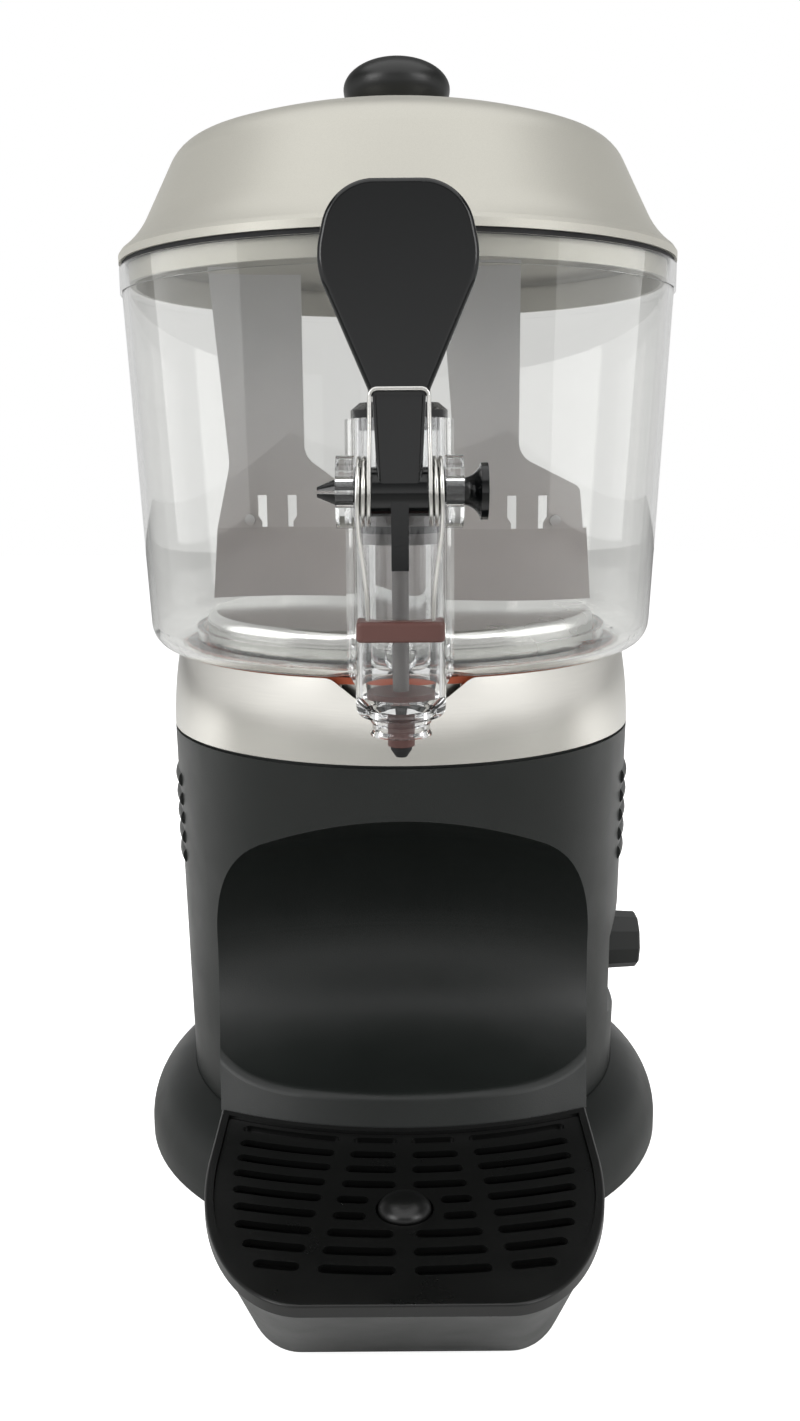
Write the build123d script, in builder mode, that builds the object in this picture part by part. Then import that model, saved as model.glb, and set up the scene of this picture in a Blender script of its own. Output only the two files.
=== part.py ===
from build123d import *
import math
import os

os.makedirs("parts", exist_ok=True)

# Clearances
SLIDE_GAP = 0.3
SEAT_GAP = 0.1
RUNNING_GAP = 0.05

# Heights of the stacked pieces, from the counter up
FOOT_HEIGHT = 6.0
BASE_HEIGHT = 39.5
COLUMN_HEIGHT = 197.5
BAND_HEIGHT = 40.0
SEAL_PROUD = 1.0
BOWL_HEIGHT = 192.0
LID_HEIGHT = 77.0
KNOB_HEIGHT = 27.0

BASE_Z = FOOT_HEIGHT
COLUMN_Z = BASE_Z + BASE_HEIGHT
BAND_Z = COLUMN_Z + COLUMN_HEIGHT
BAND_TOP_Z = BAND_Z + BAND_HEIGHT
BOWL_Z = BAND_TOP_Z + SEAL_PROUD
RIM_Z = BOWL_Z + BOWL_HEIGHT
CROWN_Z = RIM_Z + LID_HEIGHT

# Column: its top radius is the one that the other radii of the machine follow
COLUMN_TOP_RADIUS = 124.0
COLUMN_TAPER = 3.7
HOUSING_WALL = 3.0
SEAM_HEIGHT = 1.6
SEAM_DEPTH = 1.6
LEDGE_DROP = 4.0
LEDGE_THICKNESS = 6.0
LEDGE_LAP = 3.0
COLUMN_FOOT_RADIUS = COLUMN_TOP_RADIUS - COLUMN_TAPER

# Footprint: a round base and a tongue that carries the drip tray to the front
BASE_STEP = 0.7
BASE_FLARE = 25.0
BASE_EDGE = 6.0
TONGUE_LENGTH = 122.5
BASE_TOP_RADIUS = COLUMN_FOOT_RADIUS + BASE_STEP
BASE_RADIUS = BASE_TOP_RADIUS + BASE_FLARE
FRONT_REACH = BASE_RADIUS + TONGUE_LENGTH
AXIS_Y = TONGUE_LENGTH / 2

# Front tongue: half widths, front corners and rake between the counter and the tray
TONGUE_RISE = 16.5
TONGUE_BACK = 60.0
TONGUE_FOOT_HALF = 75.0
TONGUE_TOP_HALF = 88.5
TONGUE_RAKE = 52.0
TONGUE_FOOT_CORNER = 30.0
TONGUE_TOP_CORNER = 48.5
TONGUE_FOOT_ROUND = 60.0
TONGUE_TOP_ROUND = 102.5
TRAY_OVERHANG = 1.5
TONGUE_Z = COLUMN_Z + TONGUE_RISE

# Cup bay, round about an upright axis in front of the machine
BAY_DEPTH = 64.3
BAY_RADIUS = 243.0
BAY_CROWN = 27.0
BAY_CLEAR = 43.0
BAY_SLOPE = 0.53
BAY_CROWN_SHARE = 0.648
BAY_FOOT_SHARE = 0.57
BAY_BACK = COLUMN_FOOT_RADIUS - BAY_DEPTH
BAY_AXIS = BAY_BACK + BAY_RADIUS
BAY_HEIGHT = COLUMN_HEIGHT - BAY_CROWN

# Lip between the cup bay and the drip tray, round about an axis behind the machine
LIP_AXIS = 86.0
LIP_PROUD = 16.7
LIP_STEP = 7.0
LIP_FACE_RISE = 4.0
LIP_CREST_RISE = 18.0
LIP_SPLAY = 16.0
LIP_CREST_FILLET = 6.0
LIP_RADIUS = COLUMN_FOOT_RADIUS + LIP_AXIS + LIP_PROUD
LIP_HALF = TONGUE_TOP_HALF
FLOOR_Z = TONGUE_Z + LIP_CREST_RISE
BAY_WALL = BAY_HEIGHT - TONGUE_RISE - LIP_CREST_RISE - BAY_SLOPE * BAY_DEPTH
BAY_CROWN_RADIUS = BAY_CROWN_SHARE * BAY_WALL
BAY_FOOT_RADIUS = BAY_FOOT_SHARE * BAY_WALL
LIP_TOP_Z = FLOOR_Z + BAY_FOOT_RADIUS

# Vents and control side
LOUVRE_COUNT = 5
LOUVRE_PITCH = 10.6
LOUVRE_TOP = 28.3
LOUVRE_RADIUS = 5.2
LOUVRE_PROUD = 1.6
LOUVRE_ARC = 36.0
VENT_HEIGHT = 2.0
VENT_ARC = 18.0
CONTROL_HEIGHT = 62.0
CONTROL_SET_IN = 8.4
CONTROL_HALF = 50.0
CONTROL_DROP = 24.0
CONTROL_RISE = 20.5
CONTROL_BLEND = 20.0
CONTROL_FOOT_BLEND = 11.0
CONTROL_WALL = 3.0
CONTROL_FACE = COLUMN_FOOT_RADIUS - CONTROL_SET_IN

# Thermostat and its knob
DIAL_RADIUS = 17.0
DIAL_SIDES = 10
DIAL_LENGTH = 23.0
DIAL_TAPER = 3.0
SPINDLE_RADIUS = 3.0
THERMOSTAT_DEPTH = 24.0
THERMOSTAT_WIDTH = 34.0

# Trim band and the seal that the bowl stands on
BAND_DRAW_IN = 4.0
BAND_BULGE_IN = 1.1
BAND_SHEET = 1.0
BAND_FLANGE = 8.0
BAND_SHELF = 13.0
SEAL_HEIGHT = 4.0
DIP_DEPTH = 10.0
DIP_TOP_HALF = 33.0
DIP_FOOT_HALF = 20.0
DIP_FILLET = 9.0
GUARD_SET_IN = 6.0
BAND_TOP_RADIUS = COLUMN_TOP_RADIUS - BAND_DRAW_IN
BAND_BULGE_RADIUS = COLUMN_TOP_RADIUS - BAND_BULGE_IN
BAND_FLANGE_RADIUS = BAND_TOP_RADIUS - BAND_FLANGE
BAND_SHELF_RADIUS = BAND_TOP_RADIUS - BAND_SHELF
GUARD_RADIUS = BAND_TOP_RADIUS - GUARD_SET_IN
GUARD_DEPTH = DIP_DEPTH + GUARD_SET_IN
LEDGE_RADIUS = BAND_FLANGE_RADIUS - LEDGE_LAP

# Water bath under the bowl
DRUM_GAP = 2.5
DRUM_PROUD = 19.0
DRUM_FILLET = 5.0
TANK_SHEET = 1.5
TANK_GAP = 2.0
TANK_DEPTH = 15.0
FLANGE_LAP = 9.0
ELEMENT_RADIUS = 70.0
ELEMENT_TUBE = 4.0
ELEMENT_LEG_RADIUS = 3.2
ELEMENT_LIFT = 9.0
ELEMENT_LEG = 16.0
CUTOUT_RADIUS = 8.0
CUTOUT_HEIGHT = 12.0
CUTOUT_OFFSET = 66.0
DRUM_RADIUS = BAND_SHELF_RADIUS - DRUM_GAP
TANK_RADIUS = LEDGE_RADIUS - TANK_GAP
FLANGE_RADIUS = LEDGE_RADIUS + FLANGE_LAP

# Drive line
SHAFT_RADIUS = 6.0
SHAFT_TUBE_RADIUS = 11.0
SHAFT_TUBE_WALL = 2.0
SHAFT_TUBE_PROUD = 3.0
BUSH_LENGTH = 12.0
SHAFT_SEAL_HEIGHT = 4.0
DRIVE_SQUARE = 8.0
DRIVE_LENGTH = 24.0
COLLAR_RADIUS = 10.0
COLLAR_LENGTH = 9.0
STANDOFF_LENGTH = 17.0
STANDOFF_RADIUS = 4.0
STANDOFF_SPREAD = 36.0
BRACKET_SIZE = 92.0
BRACKET_SHEET = 3.0
GEARBOX_WIDTH = 64.0
GEARBOX_DEPTH = 74.0
GEARBOX_HEIGHT = 36.0
MOTOR_RADIUS = 30.0
MOTOR_LENGTH = 62.0
MOTOR_OFFSET = 4.0

# Bowl
BOWL_OVERHANG = 13.6
BOWL_FLARE = 8.4
BOWL_CORNER = 14.0
BOWL_WALL = 3.0
BOWL_BEAD = 12.0
BOWL_BEAD_PROUD = 0.5
BOWL_COLLAR_WALL = 3.0
BOWL_COLLAR_HEIGHT = 11.0
BOWL_HOLE_GAP = 3.0
BOWL_FOOT_RADIUS = BAND_TOP_RADIUS + BOWL_OVERHANG
BOWL_RIM_RADIUS = BOWL_FOOT_RADIUS + BOWL_FLARE
BOWL_HOLE_RADIUS = DRUM_RADIUS + BOWL_HOLE_GAP

# Lid
LID_OVERHANG = 0.6
LID_WALL = 3.0
LID_SEAT_RADIUS = 24.0
LID_SHOULDER_SET_IN = 31.6
LID_SHOULDER_DROP = 19.5
LID_SHOULDER_FILLET = 22.0
LID_FLARE_SET_IN = 10.3
LID_FLARE_RISE = 15.0
LID_FLARE_FILLET = 44.0
LID_SKIRT_SET_IN = 1.4
LID_SKIRT_RISE = 8.0
LID_EDGE_RISE = 2.4
LID_EDGE_HEIGHT = 3.6
LID_SEAL_SET_IN = 1.4
PLUG_GAP = 2.0
PLUG_WALL = 2.6
PLUG_DEPTH = 9.0
PLUG_SHELF = 4.0
KNOB_RADIUS = 27.0
KNOB_WAIST = 12.2
KNOB_TUCK = 17.0
DOME_FLAT = 0.8
SCREW_RADIUS = 2.5
SCREW_HEAD_RADIUS = 4.5
SCREW_HEAD_HEIGHT = 3.0
SCREW_LENGTH = 14.0
WASHER_RADIUS = 9.0
WASHER_HEIGHT = 1.2
LID_RADIUS = BOWL_RIM_RADIUS + LID_OVERHANG
LID_SHOULDER_RADIUS = LID_RADIUS - LID_SHOULDER_SET_IN
LID_FLARE_RADIUS = LID_RADIUS - LID_FLARE_SET_IN
LID_SKIRT_RADIUS = LID_RADIUS - LID_SKIRT_SET_IN
PLUG_RADIUS = BOWL_RIM_RADIUS - BOWL_WALL - PLUG_GAP

# Tap barrel in front of the bowl
TAP_STANDOFF = 32.4
BARREL_RADIUS = 19.2
BARREL_WALL = 2.5
BARREL_ABOVE = 28.5
NOZZLE_DROP = 16.0
NOZZLE_RADIUS = 13.2
NOZZLE_HEIGHT = 7.0
NOZZLE_WALL = 3.2
NOZZLE_LIP = 1.2
NOZZLE_GROOVE = 0.9
BARREL_SHOULDER = 4.0
BARREL_FILLET = 4.0
FUNNEL_HEIGHT = 6.0
BOSS_HALF = 24.0
BOSS_RISE = 5.0
PASSAGE_RADIUS = 7.5
PASSAGE_RISE = 15.0
CAP_HEIGHT = 6.0
CAP_LIP = 0.6
CAP_PLUG = 5.0
TAP_REACH = BOWL_FOOT_RADIUS + TAP_STANDOFF
BARREL_BORE = BARREL_RADIUS - BARREL_WALL
NOZZLE_BORE = NOZZLE_RADIUS - NOZZLE_WALL

# Tap pivot and lever
PIVOT_AHEAD = 32.0
PIVOT_RISE = 87.5
PIN_RADIUS = 4.0
LUG_RADIUS = 14.0
LUG_INNER = 17.6
LUG_THICKNESS = 6.9
LUG_NECK = 20.0
PIN_HEAD_RADIUS = 11.0
PIN_HEAD_LENGTH = 9.5
PIN_HEAD_RIM = 2.8
PIN_HEAD_FLARE = 0.1
PIN_TAIL_LENGTH = 7.5
PIN_BARB_RADIUS = 5.2
PIN_SPLIT = 1.2
HUB_RADIUS = 9.5
FINGER_SHORT = 10.0
FINGER_HEIGHT = 8.0
FINGER_STEM = 4.6
FINGER_WIDTH = 9.0
FINGER_DROOP = 15.0
RIB_LENGTH = 30.0
RIB_WIDTH = 6.8
RIB_BACK = 3.2
RIB_THICKNESS = 5.5
NECK_RISE = 36.0
NECK_HALF = 11.8
PADDLE_RISE = 114.5
PADDLE_WIDE_RISE = 84.0
PADDLE_HALF = 31.6
PADDLE_SET_IN = 6.6
PADDLE_WIDE_RADIUS = 30.0
PADDLE_TOP_RADIUS = 20.0
PADDLE_FRONT = 9.0
PADDLE_HOLLOW = 2.2
PADDLE_BACK = 2.0
PADDLE_LEAN = 8.0
PADDLE_FILLET = 2.2
BLOCK_HALF = 8.4
BLOCK_TOP_HALF = 10.2
PIVOT_REACH = TAP_REACH + PIVOT_AHEAD
BARREL_TOP = PIVOT_RISE + BARREL_ABOVE
LUG_OUTER = LUG_INNER + LUG_THICKNESS
FINGER_LENGTH = PIVOT_AHEAD - FINGER_SHORT

# Torsion spring of the lever and the bar that its legs stand in
WIRE_RADIUS = 0.85
COIL_RADIUS = 12.9
COIL_TURNS = 2
COIL_OUTER = 16.3
COIL_INNER = 11.7
COIL_START_ANGLE = 24.0
COIL_STEPS = 8
SPRING_SAMPLES = 800
LEG_HALF = 13.2
LEG_CLEAR = 3.0
ARM_HALF = 11.2
ARM_BEND = 3.0
ARM_RISE = 38.5
BAR_HALF = 18.0
BAR_HEIGHT = 8.5
BAR_RISE = 27.0
BAR_DEPTH = 6.0
BAR_CORNER = 2.6
BAR_ROUND = 1.6
STRAIGHT = 1e-6
LEG_REACH = TAP_REACH + BARREL_RADIUS + LEG_CLEAR

# Piston and valve
PISTON_HEAD = 12.0
PISTON_NECK_RADIUS = 4.5
PISTON_TOP = 10.0
PISTON_ROD = 3.5
RING_HEIGHT = 3.0
RING_DEPTH = 2.0
PLUG_STEM_RADIUS = 5.8
PLUG_STEM_DROP = 5.0
VALVE_HEAD_RADIUS = 14.5
VALVE_HEAD_TOP = 3.5
TIP_RADIUS = 4.6
TIP_END_RADIUS = 2.4
TIP_LENGTH = 5.0

# Mixer
MIXER_LIFT = 4.0
MIXER_HUB_RADIUS = 19.0
MIXER_HUB_HEIGHT = 46.0
MIXER_HUB_FILLET = 8.0
MIXER_TIP_GAP = 1.5
BLADE_SHEET = 3.0
BLADE_BOW = 16.0
BLADE_ARC_RADIUS = 100.0
SCRAPER_HEIGHT = 38.0
BLADE_TOP_RISE = 2.0
RIGHT_PANEL = 40.5
LEFT_PANEL = 48.0
FLARE_TOP = 38.0
FLARE_RISE = 21.5
FLARE_INSET = 7.2
FLARE_FOOT_INSET = 5.0
FLARE_FILLET = 12.0
SHOULDER_FILLET = 5.0
WAIST_RISE = 34.0
WAIST_INSET = 7.5
WAIST_FILLET = 30.0
SCRAPER_SLANT = 3.0
PANEL_GAP = 3.0
TAB_OFFSET = 67.5
TAB_SLOT_WIDTH = 5.0
TAB_SLOT_NECK = 3.0
TAB_SLOT_HEIGHT = 17.4
TAB_HALF = 8.2
BLADE_PIN_OFFSET = 82.5
BLADE_PIN_RISE = 4.2
BLADE_PIN_RADIUS = 3.0
BLADE_PIN_PROUD = 1.5
MIXER_TIP = DRUM_RADIUS - MIXER_TIP_GAP

# Drip tray
RIM_HEIGHT = 5.0
RIM_WALL = 4.2
TRAY_FLOOR = 18.0
TRAY_WALL = 2.4
TRAY_INSET = 5.5
GRILLE_DROP = 1.6
GRILLE_SHEET = 2.6
GRILLE_ROWS = 9
GRILLE_PITCH = 12.2
GRILLE_SLOT = 5.6
GRILLE_MARGIN = 10.5
GRILLE_WEB = 6.2
GRILLE_FIRST = 10.1
GRILLE_SPOKE_ANGLE = 6.75
GRILLE_SWING_ANGLE = 30.0
GRILLE_STEPS = 240
FLOAT_SET_BACK = 66.0
FLOAT_RADIUS = 11.6
FLOAT_GAP = 1.0
FLOAT_COLLAR = 4.0
FLOAT_STEM = 4.0
FLOAT_HEAD = 5.0
FLOAT_DOME = 6.0
FLOAT_GUIDE = 10.0
FLOAT_GUIDE_WALL = 2.5
FLOAT_REACH = FRONT_REACH - FLOAT_SET_BACK

# Feet, bottom plate and fittings inside the base
PLATE_SHEET = 2.0
FOOT_RADIUS = 11.0
FOOT_TAPER = 1.5
FRONT_FOOT_X = 36.0
FRONT_FOOT_SET_BACK = 26.0
REAR_FOOT_SIDE_SET_IN = 54.0
REAR_FOOT_BACK_SET_IN = 68.0
POST_RADIUS = 6.0
POST_SET_IN = 1.0
POST_COUNT = 4
POST_START_ANGLE = -15.0
POST_SPAN_ANGLE = 210.0
POST_SCREW = 2.0
POST_HEAD = 4.0
POST_HEAD_HEIGHT = 2.2
POST_SCREW_LENGTH = 12.0
BLOCK_SIZE = 34.0
BLOCK_OFFSET = 62.0
GLAND_RADIUS = 8.0
GLAND_HEAD_RADIUS = 12.0
GLAND_HEAD_LENGTH = 11.0
GLAND_NUT_LENGTH = 6.0
GLAND_SEAT = 1.2
GLAND_BORE = 4.0
GLAND_TAPER_ANGLE = 10.0
GLAND_SIDES = 6
GLAND_HEIGHT = 41.5
TONGUE_FOOT_REACH = FRONT_REACH - TONGUE_RAKE
FRONT_FOOT_REACH = TONGUE_FOOT_REACH - FRONT_FOOT_SET_BACK
REAR_FOOT_X = BASE_RADIUS - REAR_FOOT_SIDE_SET_IN
REAR_FOOT_Y = BASE_RADIUS - REAR_FOOT_BACK_SET_IN
POST_CIRCLE = BASE_TOP_RADIUS - POST_SET_IN

# Reference axes and planes
MACHINE = Axis((0, AXIS_Y, 0), (0, 0, 1))
BAY_LINE = Axis((0, AXIS_Y - BAY_AXIS, 0), (0, 0, 1))
LIP_LINE = Axis((0, AXIS_Y + LIP_AXIS, 0), (0, 0, 1))
TAP_LINE = Axis((0, AXIS_Y - TAP_REACH, 0), (0, 0, 1))
SECTION = Plane((0, AXIS_Y, 0), x_dir=(1, 0, 0), z_dir=(0, -1, 0))
SIDE = Plane((0, AXIS_Y, 0), x_dir=(0, 1, 0), z_dir=(1, 0, 0))
TAP_SECTION = Plane((0, AXIS_Y - TAP_REACH, 0), x_dir=(1, 0, 0), z_dir=(0, -1, 0))


def level(height):
    """Horizontal plane at one height, centred on the machine axis."""
    return Plane((0, AXIS_Y, height))


def lying(y, z, x=0.0):
    """Place on an axis that runs along X."""
    return Location((x, AXIS_Y + y, z), (0, 90, 0))


def filled_section(plane, *points):
    """Straight-sided face on a section plane."""
    with BuildSketch(plane) as section:
        with BuildLine():
            Polyline(*points, close=True)
        make_face()
    return section.sketch


def ring_section(inner, outer, low, high):
    """Half section of a plain ring about the machine axis."""
    return filled_section(SECTION, (inner, low), (outer, low), (outer, high), (inner, high))


# Base housing: flared round shell with the front tongue
def flare_section(inset):
    """Half section of the flared base, drawn in by inset."""
    with BuildSketch(SECTION) as section:
        with BuildLine():
            edge = Polyline(
                (0, BASE_Z),
                (BASE_RADIUS - inset, BASE_Z),
                (BASE_RADIUS - inset, BASE_Z + BASE_EDGE),
            )
            flare = TangentArc(edge @ 1, (BASE_TOP_RADIUS - inset, COLUMN_Z), tangent=(0, 1))
            Polyline(flare @ 1, (0, COLUMN_Z), (0, BASE_Z))
        make_face()
    return section.sketch


def tongue_size(height, inset):
    """Half width, reach and the two half axes of the front corners of the tongue at one height."""
    rise = (height - BASE_Z) / (TONGUE_Z - BASE_Z)
    top_reach = FRONT_REACH - TRAY_OVERHANG
    foot = (TONGUE_FOOT_HALF, TONGUE_FOOT_REACH, TONGUE_FOOT_CORNER, TONGUE_FOOT_ROUND)
    top = (TONGUE_TOP_HALF, top_reach, TONGUE_TOP_CORNER, TONGUE_TOP_ROUND)
    return [low + rise * (high - low) - inset for low, high in zip(foot, top)]


def tongue_face(height, inset, lip_gap=None):
    """Outline of the tongue at one height, optionally cut back in front of the lip."""
    half, reach, corner, depth = tongue_size(height, inset)
    with BuildSketch(level(height)) as outline:
        with BuildLine():
            left = EllipticalCenterArc((corner - half, depth - reach), corner, depth, 180, arc_size=90)
            right = EllipticalCenterArc((half - corner, depth - reach), corner, depth, 270, arc_size=90)
            Line(left @ 1, right @ 0)
            Polyline(right @ 1, (half, -TONGUE_BACK), (-half, -TONGUE_BACK), left @ 0)
        make_face()
        if lip_gap is not None:
            with Locations((0, LIP_AXIS)):
                Circle(LIP_RADIUS + lip_gap, mode=Mode.SUBTRACT)
    return outline.sketch


TRAY_BACK_GAP = SLIDE_GAP + SEAT_GAP
TUB_Z = BASE_Z + TRAY_FLOOR

with BuildPart() as base_void:
    revolve(flare_section(HOUSING_WALL), axis=MACHINE)
    loft([tongue_face(BASE_Z, HOUSING_WALL), tongue_face(TONGUE_Z - HOUSING_WALL, HOUSING_WALL)], ruled=True)
    with Locations(level(BASE_Z + PLATE_SHEET)):
        with PolarLocations(POST_CIRCLE, POST_COUNT, POST_START_ANGLE, POST_SPAN_ANGLE, endpoint=True):
            Cylinder(
                POST_RADIUS,
                BASE_HEIGHT,
                align=(Align.CENTER, Align.CENTER, Align.MIN),
                mode=Mode.SUBTRACT,
            )

with BuildPart() as base_housing:
    revolve(flare_section(0), axis=MACHINE)
    loft([tongue_face(BASE_Z, 0), tongue_face(TONGUE_Z, 0)], ruled=True)
    add(base_void.part, mode=Mode.SUBTRACT)
    with BuildSketch(level(COLUMN_Z)):
        with Locations((0, LIP_AXIS)):
            Circle(LIP_RADIUS + SEAT_GAP)
    extrude(amount=2 * TONGUE_RISE, mode=Mode.SUBTRACT)
    opening = tongue_face(TONGUE_Z, TRAY_INSET - 2 * SLIDE_GAP, TRAY_BACK_GAP + TRAY_INSET - 2 * SLIDE_GAP)
    extrude(opening, amount=-HOUSING_WALL, mode=Mode.SUBTRACT)
    with Locations(level(BASE_Z + PLATE_SHEET)):
        with PolarLocations(POST_CIRCLE, POST_COUNT, POST_START_ANGLE, POST_SPAN_ANGLE, endpoint=True):
            Cylinder(
                POST_SCREW + SEAT_GAP,
                POST_SCREW_LENGTH,
                align=(Align.CENTER, Align.CENTER, Align.MIN),
                mode=Mode.SUBTRACT,
            )
base_housing.part.label = "base_housing"
export_step(base_housing.part, "parts/base_housing.step")

# Bottom plate inside the rim of the base, with feet and screws under it
with BuildPart() as bottom_plate:
    with BuildSketch(level(BASE_Z)):
        Circle(BASE_RADIUS - HOUSING_WALL - SLIDE_GAP)
    extrude(amount=PLATE_SHEET)
    extrude(tongue_face(BASE_Z, HOUSING_WALL + SLIDE_GAP + PLATE_SHEET), amount=PLATE_SHEET)
    with Locations(level(BASE_Z)):
        with PolarLocations(POST_CIRCLE, POST_COUNT, POST_START_ANGLE, POST_SPAN_ANGLE, endpoint=True):
            Hole(POST_SCREW + SEAT_GAP)
bottom_plate.part.label = "bottom_plate"
export_step(bottom_plate.part, "parts/bottom_plate.step")

with BuildPart() as rubber_feet:
    with BuildSketch(level(BASE_Z)):
        with Locations(
            (-FRONT_FOOT_X, -FRONT_FOOT_REACH),
            (FRONT_FOOT_X, -FRONT_FOOT_REACH),
            (-REAR_FOOT_X, REAR_FOOT_Y),
            (REAR_FOOT_X, REAR_FOOT_Y),
        ):
            Circle(FOOT_RADIUS)
    extrude(amount=-FOOT_HEIGHT)
    chamfer(rubber_feet.faces().group_by(Axis.Z)[0].edges(), FOOT_TAPER)
rubber_feet.part.label = "rubber_feet"
export_step(rubber_feet.part, "parts/rubber_feet.step")

with BuildPart() as bottom_screws:
    with BuildSketch(level(BASE_Z)):
        with PolarLocations(POST_CIRCLE, POST_COUNT, POST_START_ANGLE, POST_SPAN_ANGLE, endpoint=True):
            Circle(POST_HEAD)
    extrude(amount=-POST_HEAD_HEIGHT)
    with BuildSketch(level(BASE_Z)):
        with PolarLocations(POST_CIRCLE, POST_COUNT, POST_START_ANGLE, POST_SPAN_ANGLE, endpoint=True):
            Circle(POST_SCREW)
    extrude(amount=POST_SCREW_LENGTH)
bottom_screws.part.label = "bottom_screws"
export_step(bottom_screws.part, "parts/bottom_screws.step")

# Body shell: tapered column, cup bay and lip
BAY_TOP_Z = COLUMN_Z + BAY_HEIGHT
LOUVRE_Z = BAND_Z - LOUVRE_TOP
CONTROL_Z = COLUMN_Z + CONTROL_HEIGHT
LEDGE_Z = BAND_Z - LEDGE_DROP
GLAND_Z = COLUMN_Z + GLAND_HEIGHT


def column_radius(height):
    """Outer radius of the tapered column at one height."""
    rise = (height - COLUMN_Z) / COLUMN_HEIGHT
    return COLUMN_FOOT_RADIUS + rise * (COLUMN_TOP_RADIUS - COLUMN_FOOT_RADIUS)


def bay_section(grow):
    """Side view of the cup bay, from its own axis back to its rear wall."""
    front = column_radius(BAY_TOP_Z)
    mouth_reach = COLUMN_TOP_RADIUS + BAY_CLEAR
    mouth_z = BAY_TOP_Z + grow + BAY_SLOPE * (mouth_reach - front)
    crown = (grow - BAY_BACK, BAY_TOP_Z + grow - BAY_SLOPE * (front - BAY_BACK + grow))
    foot = (grow - BAY_BACK, FLOOR_Z - grow)
    with BuildSketch(SIDE) as section:
        with BuildLine():
            Polyline(
                (-mouth_reach, mouth_z),
                crown,
                foot,
                (-BAY_AXIS, FLOOR_Z - grow),
                (-BAY_AXIS, mouth_z),
                close=True,
            )
        make_face()
        fillet(section.vertices().sort_by_distance(crown)[0], BAY_CROWN_RADIUS + grow)
        fillet(section.vertices().sort_by_distance(foot)[0], BAY_FOOT_RADIUS + grow)
    return section.sketch


def radial_plane(degrees):
    """Upright plane through the machine axis, turned about it from the right-hand side."""
    angle = math.radians(degrees)
    return Plane(
        (0, AXIS_Y, 0),
        x_dir=(math.cos(angle), math.sin(angle), 0),
        z_dir=(math.sin(angle), -math.cos(angle), 0),
    )


def louvre_section(side):
    """Round ribs in the column's side, at the start of their arc."""
    with BuildSketch(radial_plane(side - LOUVRE_ARC / 2)) as section:
        for row in range(LOUVRE_COUNT):
            height = LOUVRE_Z - row * LOUVRE_PITCH
            with Locations((column_radius(height) + LOUVRE_PROUD - LOUVRE_RADIUS, height)):
                Circle(LOUVRE_RADIUS)
    return section.sketch


def vent_section(side):
    """Air slots between the ribs, at the start of their arc."""
    with BuildSketch(radial_plane(side - VENT_ARC / 2)) as section:
        for row in range(LOUVRE_COUNT - 1):
            height = LOUVRE_Z - (row + 0.5) * LOUVRE_PITCH
            with Locations((column_radius(height), height)):
                Rectangle(4 * HOUSING_WALL, VENT_HEIGHT)
    return section.sketch


def lip_section(inset):
    """Side view of the lip's block, from its sloping face back into the column."""
    back = 2 * HOUSING_WALL - BAY_BACK
    face = LIP_AXIS - LIP_RADIUS + inset
    slope = LIP_STEP / (LIP_CREST_RISE - LIP_FACE_RISE)
    face_z = TONGUE_Z + LIP_FACE_RISE
    with BuildSketch(SIDE) as section:
        with BuildLine():
            Polyline(
                (back, COLUMN_Z),
                (face, COLUMN_Z),
                (face, face_z),
                (face + slope * (LIP_TOP_Z - face_z), LIP_TOP_Z),
                (back, LIP_TOP_Z),
                close=True,
            )
        make_face()
    return section.sketch


def lip_plan(inset):
    """Plan of the lip, which widens from its face to the edges of the bay."""
    half = LIP_HALF - inset
    with BuildSketch(level(COLUMN_Z)) as plan:
        with BuildLine():
            Polyline(
                (half + LIP_SPLAY, 0),
                (half, LIP_AXIS - LIP_RADIUS),
                (-half, LIP_AXIS - LIP_RADIUS),
                (-half - LIP_SPLAY, 0),
                close=True,
            )
        make_face()
    return plan.sketch


with BuildPart() as lip:
    revolve(lip_section(0), axis=LIP_LINE)
    extrude(lip_plan(0), amount=LIP_TOP_Z - COLUMN_Z, mode=Mode.INTERSECT)
    revolve(bay_section(0), axis=BAY_LINE, mode=Mode.SUBTRACT)

with BuildPart() as lip_void:
    revolve(lip_section(HOUSING_WALL), axis=LIP_LINE)
    extrude(lip_plan(HOUSING_WALL), amount=LIP_TOP_Z - COLUMN_Z, mode=Mode.INTERSECT)
    revolve(bay_section(HOUSING_WALL), axis=BAY_LINE, mode=Mode.SUBTRACT)

with BuildPart() as column_void:
    revolve(
        filled_section(
            SECTION,
            (0, COLUMN_Z),
            (COLUMN_FOOT_RADIUS - HOUSING_WALL, COLUMN_Z),
            (column_radius(LEDGE_Z - LEDGE_THICKNESS) - HOUSING_WALL, LEDGE_Z - LEDGE_THICKNESS),
            (LEDGE_RADIUS, LEDGE_Z - LEDGE_THICKNESS),
            (LEDGE_RADIUS, LEDGE_Z),
            (column_radius(LEDGE_Z) - HOUSING_WALL, LEDGE_Z),
            (COLUMN_TOP_RADIUS - HOUSING_WALL, BAND_Z),
            (0, BAND_Z),
        ),
        axis=MACHINE,
    )
    revolve(bay_section(HOUSING_WALL), axis=BAY_LINE, mode=Mode.SUBTRACT)
    with Locations((CONTROL_FACE - CONTROL_WALL, AXIS_Y, CONTROL_Z - CONTROL_DROP - CONTROL_FOOT_BLEND)):
        Box(
            COLUMN_TOP_RADIUS,
            2 * (CONTROL_HALF + CONTROL_WALL),
            CONTROL_DROP + CONTROL_RISE + CONTROL_BLEND + CONTROL_FOOT_BLEND,
            align=(Align.MIN, Align.CENTER, Align.MIN),
            mode=Mode.SUBTRACT,
        )

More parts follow.
